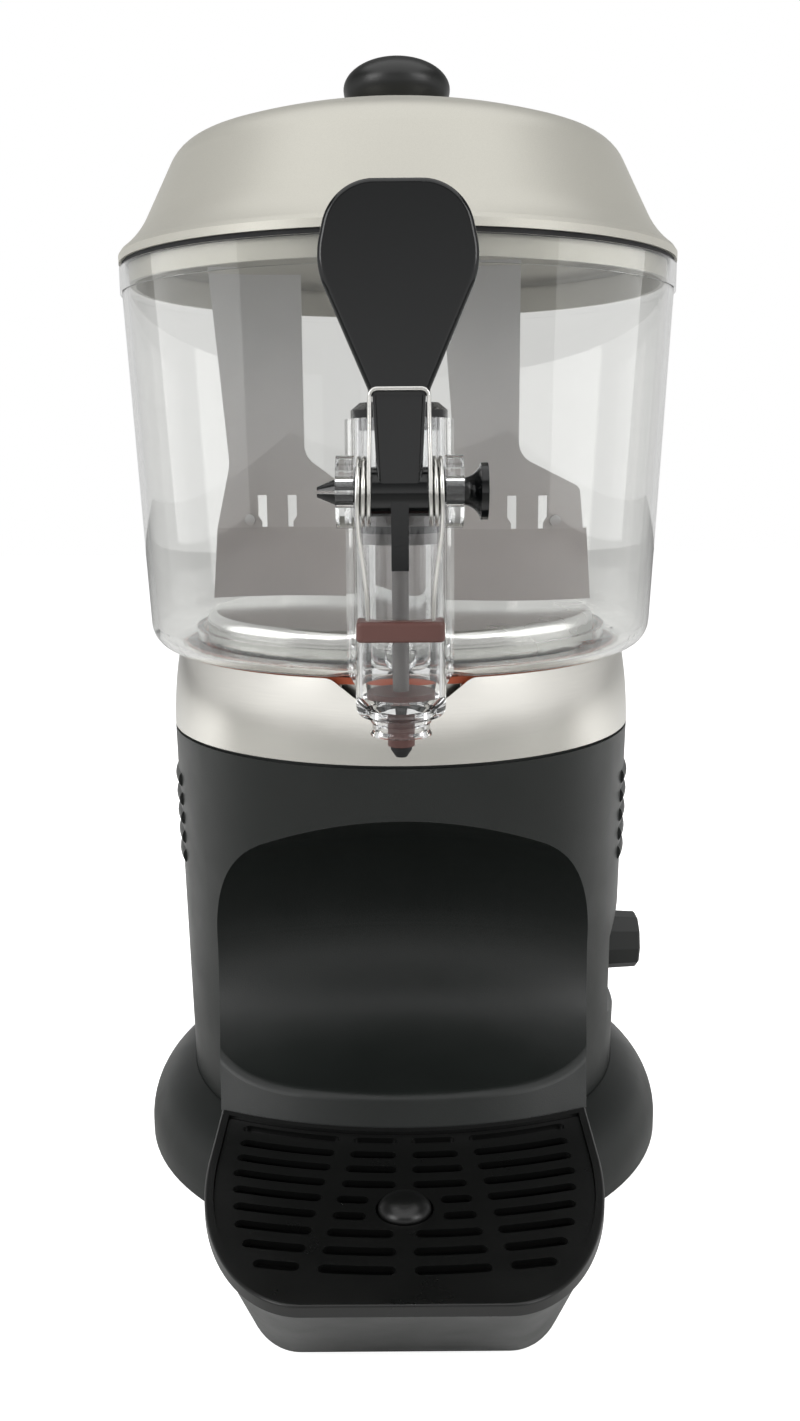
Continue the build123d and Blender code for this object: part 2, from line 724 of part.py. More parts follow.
with BuildPart() as body_shell:
    revolve(
        filled_section(
            SECTION,
            (0, COLUMN_Z),
            (COLUMN_FOOT_RADIUS, COLUMN_Z),
            (column_radius(BAND_Z - SEAM_HEIGHT), BAND_Z - SEAM_HEIGHT),
            (COLUMN_TOP_RADIUS - SEAM_DEPTH, BAND_Z - SEAM_HEIGHT),
            (COLUMN_TOP_RADIUS - SEAM_DEPTH, BAND_Z),
            (0, BAND_Z),
        ),
        axis=MACHINE,
    )
    revolve(bay_section(0), axis=BAY_LINE, mode=Mode.SUBTRACT)
    add(lip.part)
    crest = body_shell.edges().filter_by(
        lambda edge: edge.length > LIP_HALF
        and abs(edge.center().Z - FLOOR_Z) < HOUSING_WALL
        and edge.center().Y < AXIS_Y - COLUMN_TOP_RADIUS
    )
    fillet(crest, LIP_CREST_FILLET)
    for side in (0, 180):
        revolve(louvre_section(side), axis=MACHINE, revolution_arc=LOUVRE_ARC)
        revolve(vent_section(side), axis=MACHINE, revolution_arc=VENT_ARC, mode=Mode.SUBTRACT)
    with BuildSketch(SECTION):
        with BuildLine():
            Polyline(
                (CONTROL_FACE, CONTROL_Z - CONTROL_DROP),
                (CONTROL_FACE, CONTROL_Z + CONTROL_RISE),
                (COLUMN_TOP_RADIUS, CONTROL_Z + CONTROL_RISE + CONTROL_BLEND),
                (BASE_RADIUS, CONTROL_Z + CONTROL_RISE + CONTROL_BLEND),
                (BASE_RADIUS, CONTROL_Z - CONTROL_DROP - CONTROL_FOOT_BLEND),
                (COLUMN_TOP_RADIUS, CONTROL_Z - CONTROL_DROP - CONTROL_FOOT_BLEND),
                close=True,
            )
        make_face()
    extrude(amount=CONTROL_HALF, both=True, mode=Mode.SUBTRACT)
    add(column_void.part, mode=Mode.SUBTRACT)
    add(lip_void.part, mode=Mode.SUBTRACT)
    with Locations(lying(0, CONTROL_Z, CONTROL_FACE)):
        Cylinder(SPINDLE_RADIUS + SLIDE_GAP, 4 * CONTROL_WALL, mode=Mode.SUBTRACT)
    with Locations(Location((0, AXIS_Y + column_radius(GLAND_Z), GLAND_Z), (90, 0, 0))):
        Cylinder(GLAND_RADIUS + SEAT_GAP, 4 * HOUSING_WALL, mode=Mode.SUBTRACT)
body_shell.part.label = "body_shell"
export_step(body_shell.part, "parts/body_shell.step")

# Polished trim band with a bottom flange and an inner shelf, dipped at the front under the tap
SHELF_Z = BOWL_Z - SEAL_HEIGHT

with BuildPart() as trim_band:
    with BuildSketch(SECTION):
        with BuildLine():
            outer = ThreePointArc(
                (COLUMN_TOP_RADIUS, BAND_Z),
                (BAND_BULGE_RADIUS, (BAND_Z + BAND_TOP_Z) / 2),
                (BAND_TOP_RADIUS, BAND_TOP_Z),
            )
            inner = ThreePointArc(
                (BAND_TOP_RADIUS - BAND_SHEET, BAND_TOP_Z),
                (BAND_BULGE_RADIUS - BAND_SHEET, (BAND_Z + BAND_TOP_Z) / 2),
                (COLUMN_TOP_RADIUS - BAND_SHEET, BAND_Z),
            )
            Line(outer @ 1, inner @ 0)
            Line(inner @ 1, outer @ 0)
        make_face()
    revolve(axis=MACHINE)
    revolve(
        ring_section(BAND_FLANGE_RADIUS, COLUMN_TOP_RADIUS - BAND_SHEET / 2, BAND_Z, BAND_Z + BAND_SHEET),
        axis=MACHINE,
    )
    revolve(
        ring_section(BAND_SHELF_RADIUS, BAND_TOP_RADIUS, SHELF_Z - BAND_SHEET, SHELF_Z), axis=MACHINE
    )
    with BuildSketch(SECTION):
        with BuildLine():
            FilletPolyline(
                (-2 * DIP_TOP_HALF, BAND_TOP_Z + BAND_HEIGHT),
                (-2 * DIP_TOP_HALF, BAND_TOP_Z + SEAT_GAP),
                (-DIP_TOP_HALF, BAND_TOP_Z + SEAT_GAP),
                (-DIP_FOOT_HALF, BAND_TOP_Z - DIP_DEPTH),
                (DIP_FOOT_HALF, BAND_TOP_Z - DIP_DEPTH),
                (DIP_TOP_HALF, BAND_TOP_Z + SEAT_GAP),
                (2 * DIP_TOP_HALF, BAND_TOP_Z + SEAT_GAP),
                (2 * DIP_TOP_HALF, BAND_TOP_Z + BAND_HEIGHT),
                radius=DIP_FILLET,
                close=True,
            )
        make_face()
    extrude(amount=COLUMN_TOP_RADIUS, mode=Mode.SUBTRACT)
    revolve(
        ring_section(GUARD_RADIUS - BAND_SHEET, GUARD_RADIUS, SHELF_Z - GUARD_DEPTH, SHELF_Z),
        axis=MACHINE,
    )
trim_band.part.label = "trim_band"
export_step(trim_band.part, "parts/trim_band.step")

with BuildPart() as bowl_seal:
    seal_edge = BAND_TOP_RADIUS - BAND_SHEET - SEAL_HEIGHT / 2
    revolve(ring_section(DRUM_RADIUS + SEAT_GAP, seal_edge, SHELF_Z, BOWL_Z), axis=MACHINE)
    fillet(bowl_seal.edges().group_by(Axis.Z)[-1].sort_by(SortBy.RADIUS)[-1], SEAL_PROUD)
bowl_seal.part.label = "bowl_seal"
export_step(bowl_seal.part, "parts/bowl_seal.step")

# Water bath: a drum whose lid heats the drink, over a shallow tank
DRUM_TOP_Z = BOWL_Z + DRUM_PROUD
TANK_FLANGE_Z = LEDGE_Z + TANK_SHEET
TANK_Z = LEDGE_Z - TANK_DEPTH
ELEMENT_Z = TANK_Z + TANK_SHEET + ELEMENT_LIFT


def drum_section(inset):
    """Half section of the drum's inverted cup, drawn in by inset."""
    with BuildSketch(SECTION) as section:
        with BuildLine():
            wall = FilletPolyline(
                (0, DRUM_TOP_Z - inset),
                (DRUM_RADIUS - inset, DRUM_TOP_Z - inset),
                (DRUM_RADIUS - inset, TANK_FLANGE_Z),
                radius=DRUM_FILLET - inset,
            )
            Polyline(wall @ 1, (0, TANK_FLANGE_Z), wall @ 0)
        make_face()
    return section.sketch


with BuildPart() as heater_drum:
    revolve(drum_section(0), axis=MACHINE)
    revolve(ring_section(0, FLANGE_RADIUS, TANK_FLANGE_Z, TANK_FLANGE_Z + TANK_SHEET), axis=MACHINE)
    revolve(drum_section(TANK_SHEET), axis=MACHINE, mode=Mode.SUBTRACT)
    revolve(ring_section(0, SHAFT_TUBE_RADIUS, TANK_FLANGE_Z, DRUM_TOP_Z), axis=MACHINE, mode=Mode.SUBTRACT)
heater_drum.part.label = "heater_drum"
export_step(heater_drum.part, "parts/heater_drum.step")

with BuildPart() as water_tank:
    revolve(ring_section(0, TANK_RADIUS, TANK_Z, TANK_FLANGE_Z), axis=MACHINE)
    revolve(ring_section(0, FLANGE_RADIUS, LEDGE_Z, TANK_FLANGE_Z), axis=MACHINE)
    revolve(
        ring_section(0, TANK_RADIUS - TANK_SHEET, TANK_Z + TANK_SHEET, TANK_FLANGE_Z),
        axis=MACHINE,
        mode=Mode.SUBTRACT,
    )
    with Locations(level(TANK_Z)):
        Hole(SHAFT_TUBE_RADIUS)
        with Locations((-ELEMENT_LEG, ELEMENT_RADIUS), (ELEMENT_LEG, ELEMENT_RADIUS)):
            Hole(ELEMENT_LEG_RADIUS + SEAT_GAP)
water_tank.part.label = "water_tank"
export_step(water_tank.part, "parts/water_tank.step")

with BuildPart() as heating_element:
    with Locations(level(ELEMENT_Z)):
        Torus(math.hypot(ELEMENT_LEG, ELEMENT_RADIUS), ELEMENT_TUBE)
        with Locations((-ELEMENT_LEG, ELEMENT_RADIUS), (ELEMENT_LEG, ELEMENT_RADIUS)):
            Cylinder(ELEMENT_LEG_RADIUS, 2 * ELEMENT_LIFT, align=(Align.CENTER, Align.CENTER, Align.MAX))
heating_element.part.label = "heating_element"
export_step(heating_element.part, "parts/heating_element.step")

with BuildPart() as safety_thermostat:
    with Locations((-CUTOUT_OFFSET, AXIS_Y, TANK_Z)):
        Cylinder(CUTOUT_RADIUS, CUTOUT_HEIGHT, align=(Align.CENTER, Align.CENTER, Align.MAX))
safety_thermostat.part.label = "safety_thermostat"
export_step(safety_thermostat.part, "parts/safety_thermostat.step")

# Drive line from the gearbox up through the bath to the mixer
TUBE_TOP_Z = DRUM_TOP_Z + SHAFT_TUBE_PROUD
BRACKET_Z = TANK_Z - STANDOFF_LENGTH - BRACKET_SHEET
GEARBOX_Z = BRACKET_Z - GEARBOX_HEIGHT
SHAFT_FOOT_Z = BRACKET_Z - GEARBOX_HEIGHT / 2
SHOULDER_Z = TUBE_TOP_Z + SHAFT_SEAL_HEIGHT + SEAL_PROUD
TUBE_BORE = SHAFT_TUBE_RADIUS - SHAFT_TUBE_WALL

with BuildPart() as shaft_tube:
    revolve(ring_section(TUBE_BORE, SHAFT_TUBE_RADIUS, TANK_Z, TUBE_TOP_Z), axis=MACHINE)
shaft_tube.part.label = "shaft_tube"
export_step(shaft_tube.part, "parts/shaft_tube.step")

with BuildPart() as shaft_bushes:
    for foot in (TANK_Z, TUBE_TOP_Z - BUSH_LENGTH):
        revolve(ring_section(SHAFT_RADIUS + RUNNING_GAP, TUBE_BORE, foot, foot + BUSH_LENGTH), axis=MACHINE)
shaft_bushes.part.label = "shaft_bushes"
export_step(shaft_bushes.part, "parts/shaft_bushes.step")

with BuildPart() as shaft_seal:
    revolve(
        ring_section(
            SHAFT_RADIUS + RUNNING_GAP, SHAFT_TUBE_RADIUS, TUBE_TOP_Z, TUBE_TOP_Z + SHAFT_SEAL_HEIGHT
        ),
        axis=MACHINE,
    )
shaft_seal.part.label = "shaft_seal"
export_step(shaft_seal.part, "parts/shaft_seal.step")

with BuildPart() as drive_shaft:
    revolve(ring_section(0, SHAFT_RADIUS, SHAFT_FOOT_Z, SHOULDER_Z), axis=MACHINE)
    with BuildSketch(level(SHOULDER_Z)):
        Rectangle(DRIVE_SQUARE, DRIVE_SQUARE)
    extrude(amount=DRIVE_LENGTH)
drive_shaft.part.label = "drive_shaft"
export_step(drive_shaft.part, "parts/drive_shaft.step")

with BuildPart() as shaft_collar:
    collar_z = TANK_Z - SLIDE_GAP - COLLAR_LENGTH
    revolve(ring_section(SHAFT_RADIUS, COLLAR_RADIUS, collar_z, collar_z + COLLAR_LENGTH), axis=MACHINE)
shaft_collar.part.label = "shaft_collar"
export_step(shaft_collar.part, "parts/shaft_collar.step")

with BuildPart() as standoffs:
    with Locations(level(TANK_Z)):
        with GridLocations(2 * STANDOFF_SPREAD, 2 * STANDOFF_SPREAD, 2, 2):
            Cylinder(STANDOFF_RADIUS, STANDOFF_LENGTH, align=(Align.CENTER, Align.CENTER, Align.MAX))
standoffs.part.label = "standoffs"
export_step(standoffs.part, "parts/standoffs.step")

with BuildPart() as motor_bracket:
    with BuildSketch(level(BRACKET_Z)):
        RectangleRounded(BRACKET_SIZE, BRACKET_SIZE, COLLAR_RADIUS)
        Circle(COLLAR_RADIUS + SEAL_PROUD, mode=Mode.SUBTRACT)
    extrude(amount=BRACKET_SHEET)
motor_bracket.part.label = "motor_bracket"
export_step(motor_bracket.part, "parts/motor_bracket.step")

with BuildPart() as gearbox:
    with BuildSketch(level(GEARBOX_Z)):
        with Locations((0, MOTOR_OFFSET)):
            RectangleRounded(GEARBOX_WIDTH, GEARBOX_DEPTH, COLLAR_RADIUS)
    extrude(amount=GEARBOX_HEIGHT)
    revolve(
        ring_section(0, SHAFT_RADIUS + RUNNING_GAP, SHAFT_FOOT_Z - SLIDE_GAP, BRACKET_Z),
        axis=MACHINE,
        mode=Mode.SUBTRACT,
    )
gearbox.part.label = "gearbox"
export_step(gearbox.part, "parts/gearbox.step")

with BuildPart() as motor:
    with BuildSketch(level(GEARBOX_Z)):
        with Locations((0, MOTOR_OFFSET)):
            Circle(MOTOR_RADIUS)
    extrude(amount=-MOTOR_LENGTH)
    fillet(motor.edges().group_by(Axis.Z)[0], DRUM_FILLET)
motor.part.label = "motor"
export_step(motor.part, "parts/motor.step")

# Thermostat behind the control face, its spindle and its faceted knob
THERMOSTAT_FACE = CONTROL_FACE - CONTROL_WALL

with BuildPart() as thermostat:
    with Locations((THERMOSTAT_FACE, AXIS_Y, CONTROL_Z)):
        Box(
            THERMOSTAT_DEPTH,
            THERMOSTAT_WIDTH,
            THERMOSTAT_WIDTH,
            align=(Align.MAX, Align.CENTER, Align.CENTER),
        )
    with Locations(lying(0, CONTROL_Z, THERMOSTAT_FACE)):
        Cylinder(SPINDLE_RADIUS + RUNNING_GAP, THERMOSTAT_DEPTH, mode=Mode.SUBTRACT)
thermostat.part.label = "thermostat"
export_step(thermostat.part, "parts/thermostat.step")

DIAL_FACE = CONTROL_FACE + SLIDE_GAP

with BuildPart() as dial_spindle:
    with Locations(lying(0, CONTROL_Z, DIAL_FACE + DIAL_LENGTH / 2)):
        Cylinder(
            SPINDLE_RADIUS,
            DIAL_LENGTH / 2 + SLIDE_GAP + CONTROL_WALL + THERMOSTAT_DEPTH / 3,
            align=(Align.CENTER, Align.CENTER, Align.MAX),
        )
dial_spindle.part.label = "dial_spindle"
export_step(dial_spindle.part, "parts/dial_spindle.step")

with BuildPart() as thermostat_knob:
    with BuildSketch(Plane((DIAL_FACE, AXIS_Y, CONTROL_Z), x_dir=(0, 1, 0), z_dir=(1, 0, 0))):
        RegularPolygon(DIAL_RADIUS, DIAL_SIDES)
    extrude(amount=DIAL_LENGTH, taper=DIAL_TAPER)
    chamfer(thermostat_knob.faces().sort_by(Axis.X)[-1].edges(), SEAL_PROUD)
    with Locations(lying(0, CONTROL_Z, DIAL_FACE)):
        Cylinder(SPINDLE_RADIUS, DIAL_LENGTH, mode=Mode.SUBTRACT)
thermostat_knob.part.label = "thermostat_knob"
export_step(thermostat_knob.part, "parts/thermostat_knob.step")

# Mains side: terminal block on the bottom plate and the gland in the rear wall
with BuildPart() as terminal_block:
    with Locations((BLOCK_OFFSET, AXIS_Y + BLOCK_OFFSET, BASE_Z + PLATE_SHEET)):
        Box(BLOCK_SIZE, BLOCK_SIZE / 2, BLOCK_SIZE / 2, align=(Align.CENTER, Align.CENTER, Align.MIN))
terminal_block.part.label = "terminal_block"
export_step(terminal_block.part, "parts/terminal_block.step")

with BuildPart() as cable_gland:
    wall_face = AXIS_Y + column_radius(GLAND_Z + GLAND_HEAD_RADIUS)
    with BuildSketch(Plane((0, wall_face, GLAND_Z), x_dir=(1, 0, 0), z_dir=(0, 1, 0))):
        Circle(GLAND_HEAD_RADIUS)
    extrude(amount=GLAND_HEAD_LENGTH, taper=GLAND_TAPER_ANGLE)
    with BuildSketch(Plane((0, wall_face, GLAND_Z), x_dir=(1, 0, 0), z_dir=(0, -1, 0))):
        Circle(GLAND_RADIUS)
    extrude(amount=HOUSING_WALL + GLAND_SEAT + GLAND_NUT_LENGTH)
    nut_face = (0, wall_face - HOUSING_WALL - GLAND_SEAT, GLAND_Z)
    with BuildSketch(Plane(nut_face, x_dir=(1, 0, 0), z_dir=(0, -1, 0))):
        RegularPolygon(GLAND_HEAD_RADIUS, GLAND_SIDES)
    extrude(amount=GLAND_NUT_LENGTH)
    with Locations(Location((0, wall_face, GLAND_Z), (90, 0, 0))):
        Cylinder(GLAND_BORE, 4 * GLAND_HEAD_LENGTH, mode=Mode.SUBTRACT)
cable_gland.part.label = "cable_gland"
export_step(cable_gland.part, "parts/cable_gland.step")

# Clear bowl: open floor that fits round the drum, and an outlet to the tap
PASSAGE_Z = BOWL_Z + PASSAGE_RISE


def bowl_section(inset):
    """Half section of the bowl's outline, filled to the axis and drawn in by inset."""
    with BuildSketch(SECTION) as section:
        with BuildLine():
            wall = FilletPolyline(
                (0, BOWL_Z + inset),
                (BOWL_FOOT_RADIUS - inset, BOWL_Z + inset),
                (BOWL_RIM_RADIUS - inset, RIM_Z),
                radius=BOWL_CORNER - inset,
            )
            Polyline(wall @ 1, (0, RIM_Z), wall @ 0)
        make_face()
    return section.sketch


with BuildPart() as bowl:
    revolve(bowl_section(0), axis=MACHINE)
    bead_radius = BOWL_RIM_RADIUS + BOWL_BEAD_PROUD
    revolve(ring_section(BOWL_RIM_RADIUS - BOWL_WALL, bead_radius, RIM_Z - BOWL_BEAD, RIM_Z), axis=MACHINE)
    revolve(bowl_section(BOWL_WALL), axis=MACHINE, mode=Mode.SUBTRACT)
    revolve(
        ring_section(
            BOWL_HOLE_RADIUS, BOWL_HOLE_RADIUS + BOWL_COLLAR_WALL, BOWL_Z, BOWL_Z + BOWL_COLLAR_HEIGHT
        ),
        axis=MACHINE,
    )
    revolve(ring_section(0, BOWL_HOLE_RADIUS, BOWL_Z, BOWL_Z + BOWL_WALL), axis=MACHINE, mode=Mode.SUBTRACT)
    with Locations(Location((0, AXIS_Y - BOWL_FOOT_RADIUS, PASSAGE_Z), (90, 0, 0))):
        Cylinder(PASSAGE_RADIUS, 2 * BOWL_CORNER, mode=Mode.SUBTRACT)
bowl.part.label = "bowl"
export_step(bowl.part, "parts/bowl.step")

# Lid: domed cover with a plug ring that sits in the bowl's mouth
LID_EDGE_Z = RIM_Z + LID_EDGE_RISE


def lid_section(inset):
    """Half section of the lid's outline, filled to the axis and drawn in by inset."""
    shoulder = (LID_SHOULDER_RADIUS - inset, CROWN_Z - LID_SHOULDER_DROP - inset)
    flare = (LID_FLARE_RADIUS - inset, RIM_Z + LID_FLARE_RISE)
    top = CROWN_Z - inset
    half_way = (LID_SEAT_RADIUS + shoulder[0]) / 2
    fall = (half_way**2 - LID_SEAT_RADIUS**2) / (shoulder[0] ** 2 - LID_SEAT_RADIUS**2)
    with BuildSketch(SECTION) as section:
        with BuildLine():
            seat = Line((0, top), (LID_SEAT_RADIUS, top))
            dome = ThreePointArc(seat @ 1, (half_way, top - fall * (top - shoulder[1])), shoulder)
            Polyline(
                dome @ 1,
                flare,
                (LID_SKIRT_RADIUS - inset, RIM_Z + LID_SKIRT_RISE),
                (LID_RADIUS - inset, LID_EDGE_Z + LID_EDGE_HEIGHT),
                (LID_RADIUS - inset, LID_EDGE_Z),
                (0, LID_EDGE_Z),
                (0, top),
            )
        make_face()
        fillet(section.vertices().sort_by_distance(shoulder)[0], LID_SHOULDER_FILLET - inset)
        fillet(section.vertices().sort_by_distance(flare)[0], LID_FLARE_FILLET + inset)
    return section.sketch


with BuildPart() as lid:
    revolve(lid_section(0), axis=MACHINE)
    revolve(lid_section(LID_WALL), axis=MACHINE, mode=Mode.SUBTRACT)
    shelf_edge = LID_RADIUS - LID_WALL + SEAL_PROUD
    plug_bore = PLUG_RADIUS - PLUG_WALL
    revolve(ring_section(plug_bore, shelf_edge, LID_EDGE_Z, RIM_Z + PLUG_SHELF), axis=MACHINE)
    revolve(ring_section(plug_bore, PLUG_RADIUS, RIM_Z - PLUG_DEPTH, LID_EDGE_Z), axis=MACHINE)
    with Locations(level(CROWN_Z)):
        Hole(SCREW_RADIUS + SEAT_GAP, depth=2 * LID_WALL)
lid.part.label = "lid"
export_step(lid.part, "parts/lid.step")

with BuildPart() as lid_seal:
    revolve(ring_section(PLUG_RADIUS, LID_RADIUS - LID_SEAL_SET_IN, RIM_Z, LID_EDGE_Z), axis=MACHINE)
lid_seal.part.label = "lid_seal"
export_step(lid_seal.part, "parts/lid_seal.step")


def dome_arc(radius):
    """Angle of a dome's arc, which stops at the small flat on its top."""
    return math.degrees(math.acos(DOME_FLAT / radius))


with BuildPart() as lid_knob:
    waist_z = CROWN_Z + KNOB_WAIST
    tuck = math.degrees(math.asin(KNOB_WAIST / KNOB_TUCK))
    with BuildSketch(SECTION):
        with BuildLine():
            lower = EllipticalCenterArc((0, waist_z), KNOB_RADIUS, KNOB_TUCK, -tuck, arc_size=tuck)
            dome_rise = KNOB_HEIGHT - KNOB_WAIST
            upper = EllipticalCenterArc((0, waist_z), KNOB_RADIUS, dome_rise, arc_size=dome_arc(KNOB_RADIUS))
            Polyline(upper @ 1, (0, (upper @ 1).Y), (0, CROWN_Z), lower @ 0)
        make_face()
    revolve(axis=MACHINE)
    with Locations(level(CROWN_Z)):
        Cylinder(
            SCREW_RADIUS + SEAT_GAP,
            SCREW_LENGTH - LID_WALL,
            align=(Align.CENTER, Align.CENTER, Align.MIN),
            mode=Mode.SUBTRACT,
        )
lid_knob.part.label = "lid_knob"
export_step(lid_knob.part, "parts/lid_knob.step")

WASHER_Z = CROWN_Z - LID_WALL - WASHER_HEIGHT

with BuildPart() as lid_washer:
    revolve(
        ring_section(SCREW_RADIUS + SEAT_GAP, WASHER_RADIUS, WASHER_Z, WASHER_Z + WASHER_HEIGHT),
        axis=MACHINE,
    )
lid_washer.part.label = "lid_washer"
export_step(lid_washer.part, "parts/lid_washer.step")

with BuildPart() as lid_screw:
    revolve(ring_section(0, SCREW_HEAD_RADIUS, WASHER_Z - SCREW_HEAD_HEIGHT, WASHER_Z), axis=MACHINE)
    revolve(ring_section(0, SCREW_RADIUS, WASHER_Z, WASHER_Z + SCREW_LENGTH), axis=MACHINE)
lid_screw.part.label = "lid_screw"
export_step(lid_screw.part, "parts/lid_screw.step")

# Tap barrel: clear tube with a nozzle, a boss against the bowl and two lugs for the pivot pin
BARREL_TOP_Z = BOWL_Z + BARREL_TOP
NOZZLE_Z = BOWL_Z - NOZZLE_DROP
NECK_Z = NOZZLE_Z + NOZZLE_HEIGHT
FUNNEL_Z = NECK_Z + BARREL_SHOULDER
PIVOT_Z = BOWL_Z + PIVOT_RISE


def tap_ring(inner, outer, low, high):
    """Half section of a plain ring about the tap axis."""
    return filled_section(TAP_SECTION, (inner, low), (outer, low), (outer, high), (inner, high))


with BuildPart() as tap_barrel:
    with BuildSketch(level(BOWL_Z + BOSS_RISE)):
        with BuildLine():
            Polyline(
                (-BOSS_HALF, -BOWL_FOOT_RADIUS + BOWL_CORNER),
                (-BOSS_HALF, -BOWL_FOOT_RADIUS),
                (-BARREL_RADIUS, -TAP_REACH),
                (BARREL_RADIUS, -TAP_REACH),
                (BOSS_HALF, -BOWL_FOOT_RADIUS),
                (BOSS_HALF, -BOWL_FOOT_RADIUS + BOWL_CORNER),
                close=True,
            )
        make_face()
    extrude(amount=BARREL_TOP - BOSS_RISE)
    revolve(bowl_section(-SEAT_GAP), axis=MACHINE, mode=Mode.SUBTRACT)
    with BuildSketch(TAP_SECTION):
        with BuildLine():
            shell = FilletPolyline(
                (NOZZLE_RADIUS, NECK_Z),
                (BARREL_RADIUS, NECK_Z + BARREL_SHOULDER / 2),
                (BARREL_RADIUS, BARREL_TOP_Z),
                radius=BARREL_FILLET,
            )
            Polyline(
                shell @ 1,
                (0, BARREL_TOP_Z),
                (0, NOZZLE_Z),
                (NOZZLE_RADIUS, NOZZLE_Z),
                (NOZZLE_RADIUS, NOZZLE_Z + NOZZLE_LIP),
                (NOZZLE_RADIUS - NOZZLE_GROOVE, NOZZLE_Z + 2 * NOZZLE_LIP),
                (NOZZLE_RADIUS - NOZZLE_GROOVE, NECK_Z - 2 * NOZZLE_LIP),
                (NOZZLE_RADIUS, NECK_Z - NOZZLE_LIP),
                (NOZZLE_RADIUS, NECK_Z),
            )
        make_face()
    revolve(axis=TAP_LINE)
    with BuildSketch(SIDE) as lug_outline:
        with Locations((-PIVOT_REACH, PIVOT_Z)):
            Circle(LUG_RADIUS)
        with Locations(((-PIVOT_REACH - TAP_REACH) / 2, PIVOT_Z)):
            Rectangle(PIVOT_REACH - TAP_REACH, LUG_NECK)
    for side in (-1, 1):
        lug_face = lug_outline.sketch.moved(Location((side * LUG_INNER, 0, 0)))
        extrude(lug_face, amount=LUG_OUTER - LUG_INNER, dir=(side, 0, 0))
    revolve(
        tap_ring(0, BARREL_BORE, FUNNEL_Z + FUNNEL_HEIGHT, BARREL_TOP_Z),
        axis=TAP_LINE,
        mode=Mode.SUBTRACT,
    )
    revolve(
        filled_section(
            TAP_SECTION,
            (0, NOZZLE_Z),
            (NOZZLE_BORE, NOZZLE_Z),
            (NOZZLE_BORE, FUNNEL_Z),
            (BARREL_BORE, FUNNEL_Z + FUNNEL_HEIGHT),
            (0, FUNNEL_Z + FUNNEL_HEIGHT),
        ),
        axis=TAP_LINE,
        mode=Mode.SUBTRACT,
    )
    with Locations((0, AXIS_Y - TAP_REACH, PIVOT_Z)):
        Box(
            FINGER_WIDTH + 4 * SLIDE_GAP,
            PIVOT_REACH - TAP_REACH,
            2 * (FINGER_LENGTH * math.sin(math.radians(FINGER_DROOP)) + FINGER_HEIGHT),
            align=(Align.CENTER, Align.MAX, Align.CENTER),
            mode=Mode.SUBTRACT,
        )
    with Locations(Location((0, AXIS_Y - TAP_REACH, PASSAGE_Z), (90, 0, 0))):
        Cylinder(
            PASSAGE_RADIUS,
            TAP_REACH,
            align=(Align.CENTER, Align.CENTER, Align.MAX),
            mode=Mode.SUBTRACT,
        )
    with Locations(lying(-PIVOT_REACH, PIVOT_Z)):
        Cylinder(PIN_RADIUS + SEAT_GAP, 4 * LUG_OUTER, mode=Mode.SUBTRACT)
tap_barrel.part.label = "tap_barrel"
export_step(tap_barrel.part, "parts/tap_barrel.step")

with BuildPart() as tap_cap:
    with BuildSketch(TAP_SECTION):
        with BuildLine():
            Polyline(
                (0, BARREL_TOP_Z - CAP_PLUG),
                (BARREL_BORE - SEAT_GAP, BARREL_TOP_Z - CAP_PLUG),
                (BARREL_BORE - SEAT_GAP, BARREL_TOP_Z),
                (BARREL_RADIUS + CAP_LIP, BARREL_TOP_Z),
                (BARREL_RADIUS + CAP_LIP, BARREL_TOP_Z + CAP_HEIGHT / 2),
                (BARREL_RADIUS - CAP_HEIGHT / 2, BARREL_TOP_Z + CAP_HEIGHT),
                (0, BARREL_TOP_Z + CAP_HEIGHT),
                close=True,
            )
        make_face()
    revolve(axis=TAP_LINE)
tap_cap.part.label = "tap_cap"
export_step(tap_cap.part, "parts/tap_cap.step")

# Pivot pin: flared head on the right, split barbed tail on the left
PIN_PLANE = Plane((0, AXIS_Y - PIVOT_REACH, PIVOT_Z), x_dir=(1, 0, 0), z_dir=(0, -1, 0))
PIN_LINE = Axis((0, AXIS_Y - PIVOT_REACH, PIVOT_Z), (1, 0, 0))

with BuildPart() as pivot_pin:
    with BuildSketch(PIN_PLANE):
        with BuildLine():
            tail = LUG_OUTER + SEAT_GAP
            shank = Polyline(
                (-tail - PIN_TAIL_LENGTH, 0),
                (-tail - PIN_TAIL_LENGTH, PIN_RADIUS / 2),
                (-tail, PIN_BARB_RADIUS),
                (-tail, PIN_RADIUS),
                (tail, PIN_RADIUS),
                (tail, PIN_BARB_RADIUS),
            )
            rim = (tail + PIN_HEAD_LENGTH - PIN_HEAD_RIM, PIN_HEAD_RADIUS)
            flange = TangentArc(shank @ 1, rim, tangent=(1, PIN_HEAD_FLARE))
            Polyline(
                flange @ 1,
                (tail + PIN_HEAD_LENGTH, PIN_HEAD_RADIUS),
                (tail + PIN_HEAD_LENGTH, 0),
                shank @ 0,
            )
        make_face()
    revolve(axis=PIN_LINE)
    with Locations((-tail, AXIS_Y - PIVOT_REACH, PIVOT_Z)):
        Box(2 * PIN_TAIL_LENGTH, 4 * PIN_RADIUS, PIN_SPLIT, mode=Mode.SUBTRACT)
pivot_pin.part.label = "pivot_pin"
export_step(pivot_pin.part, "parts/pivot_pin.step")

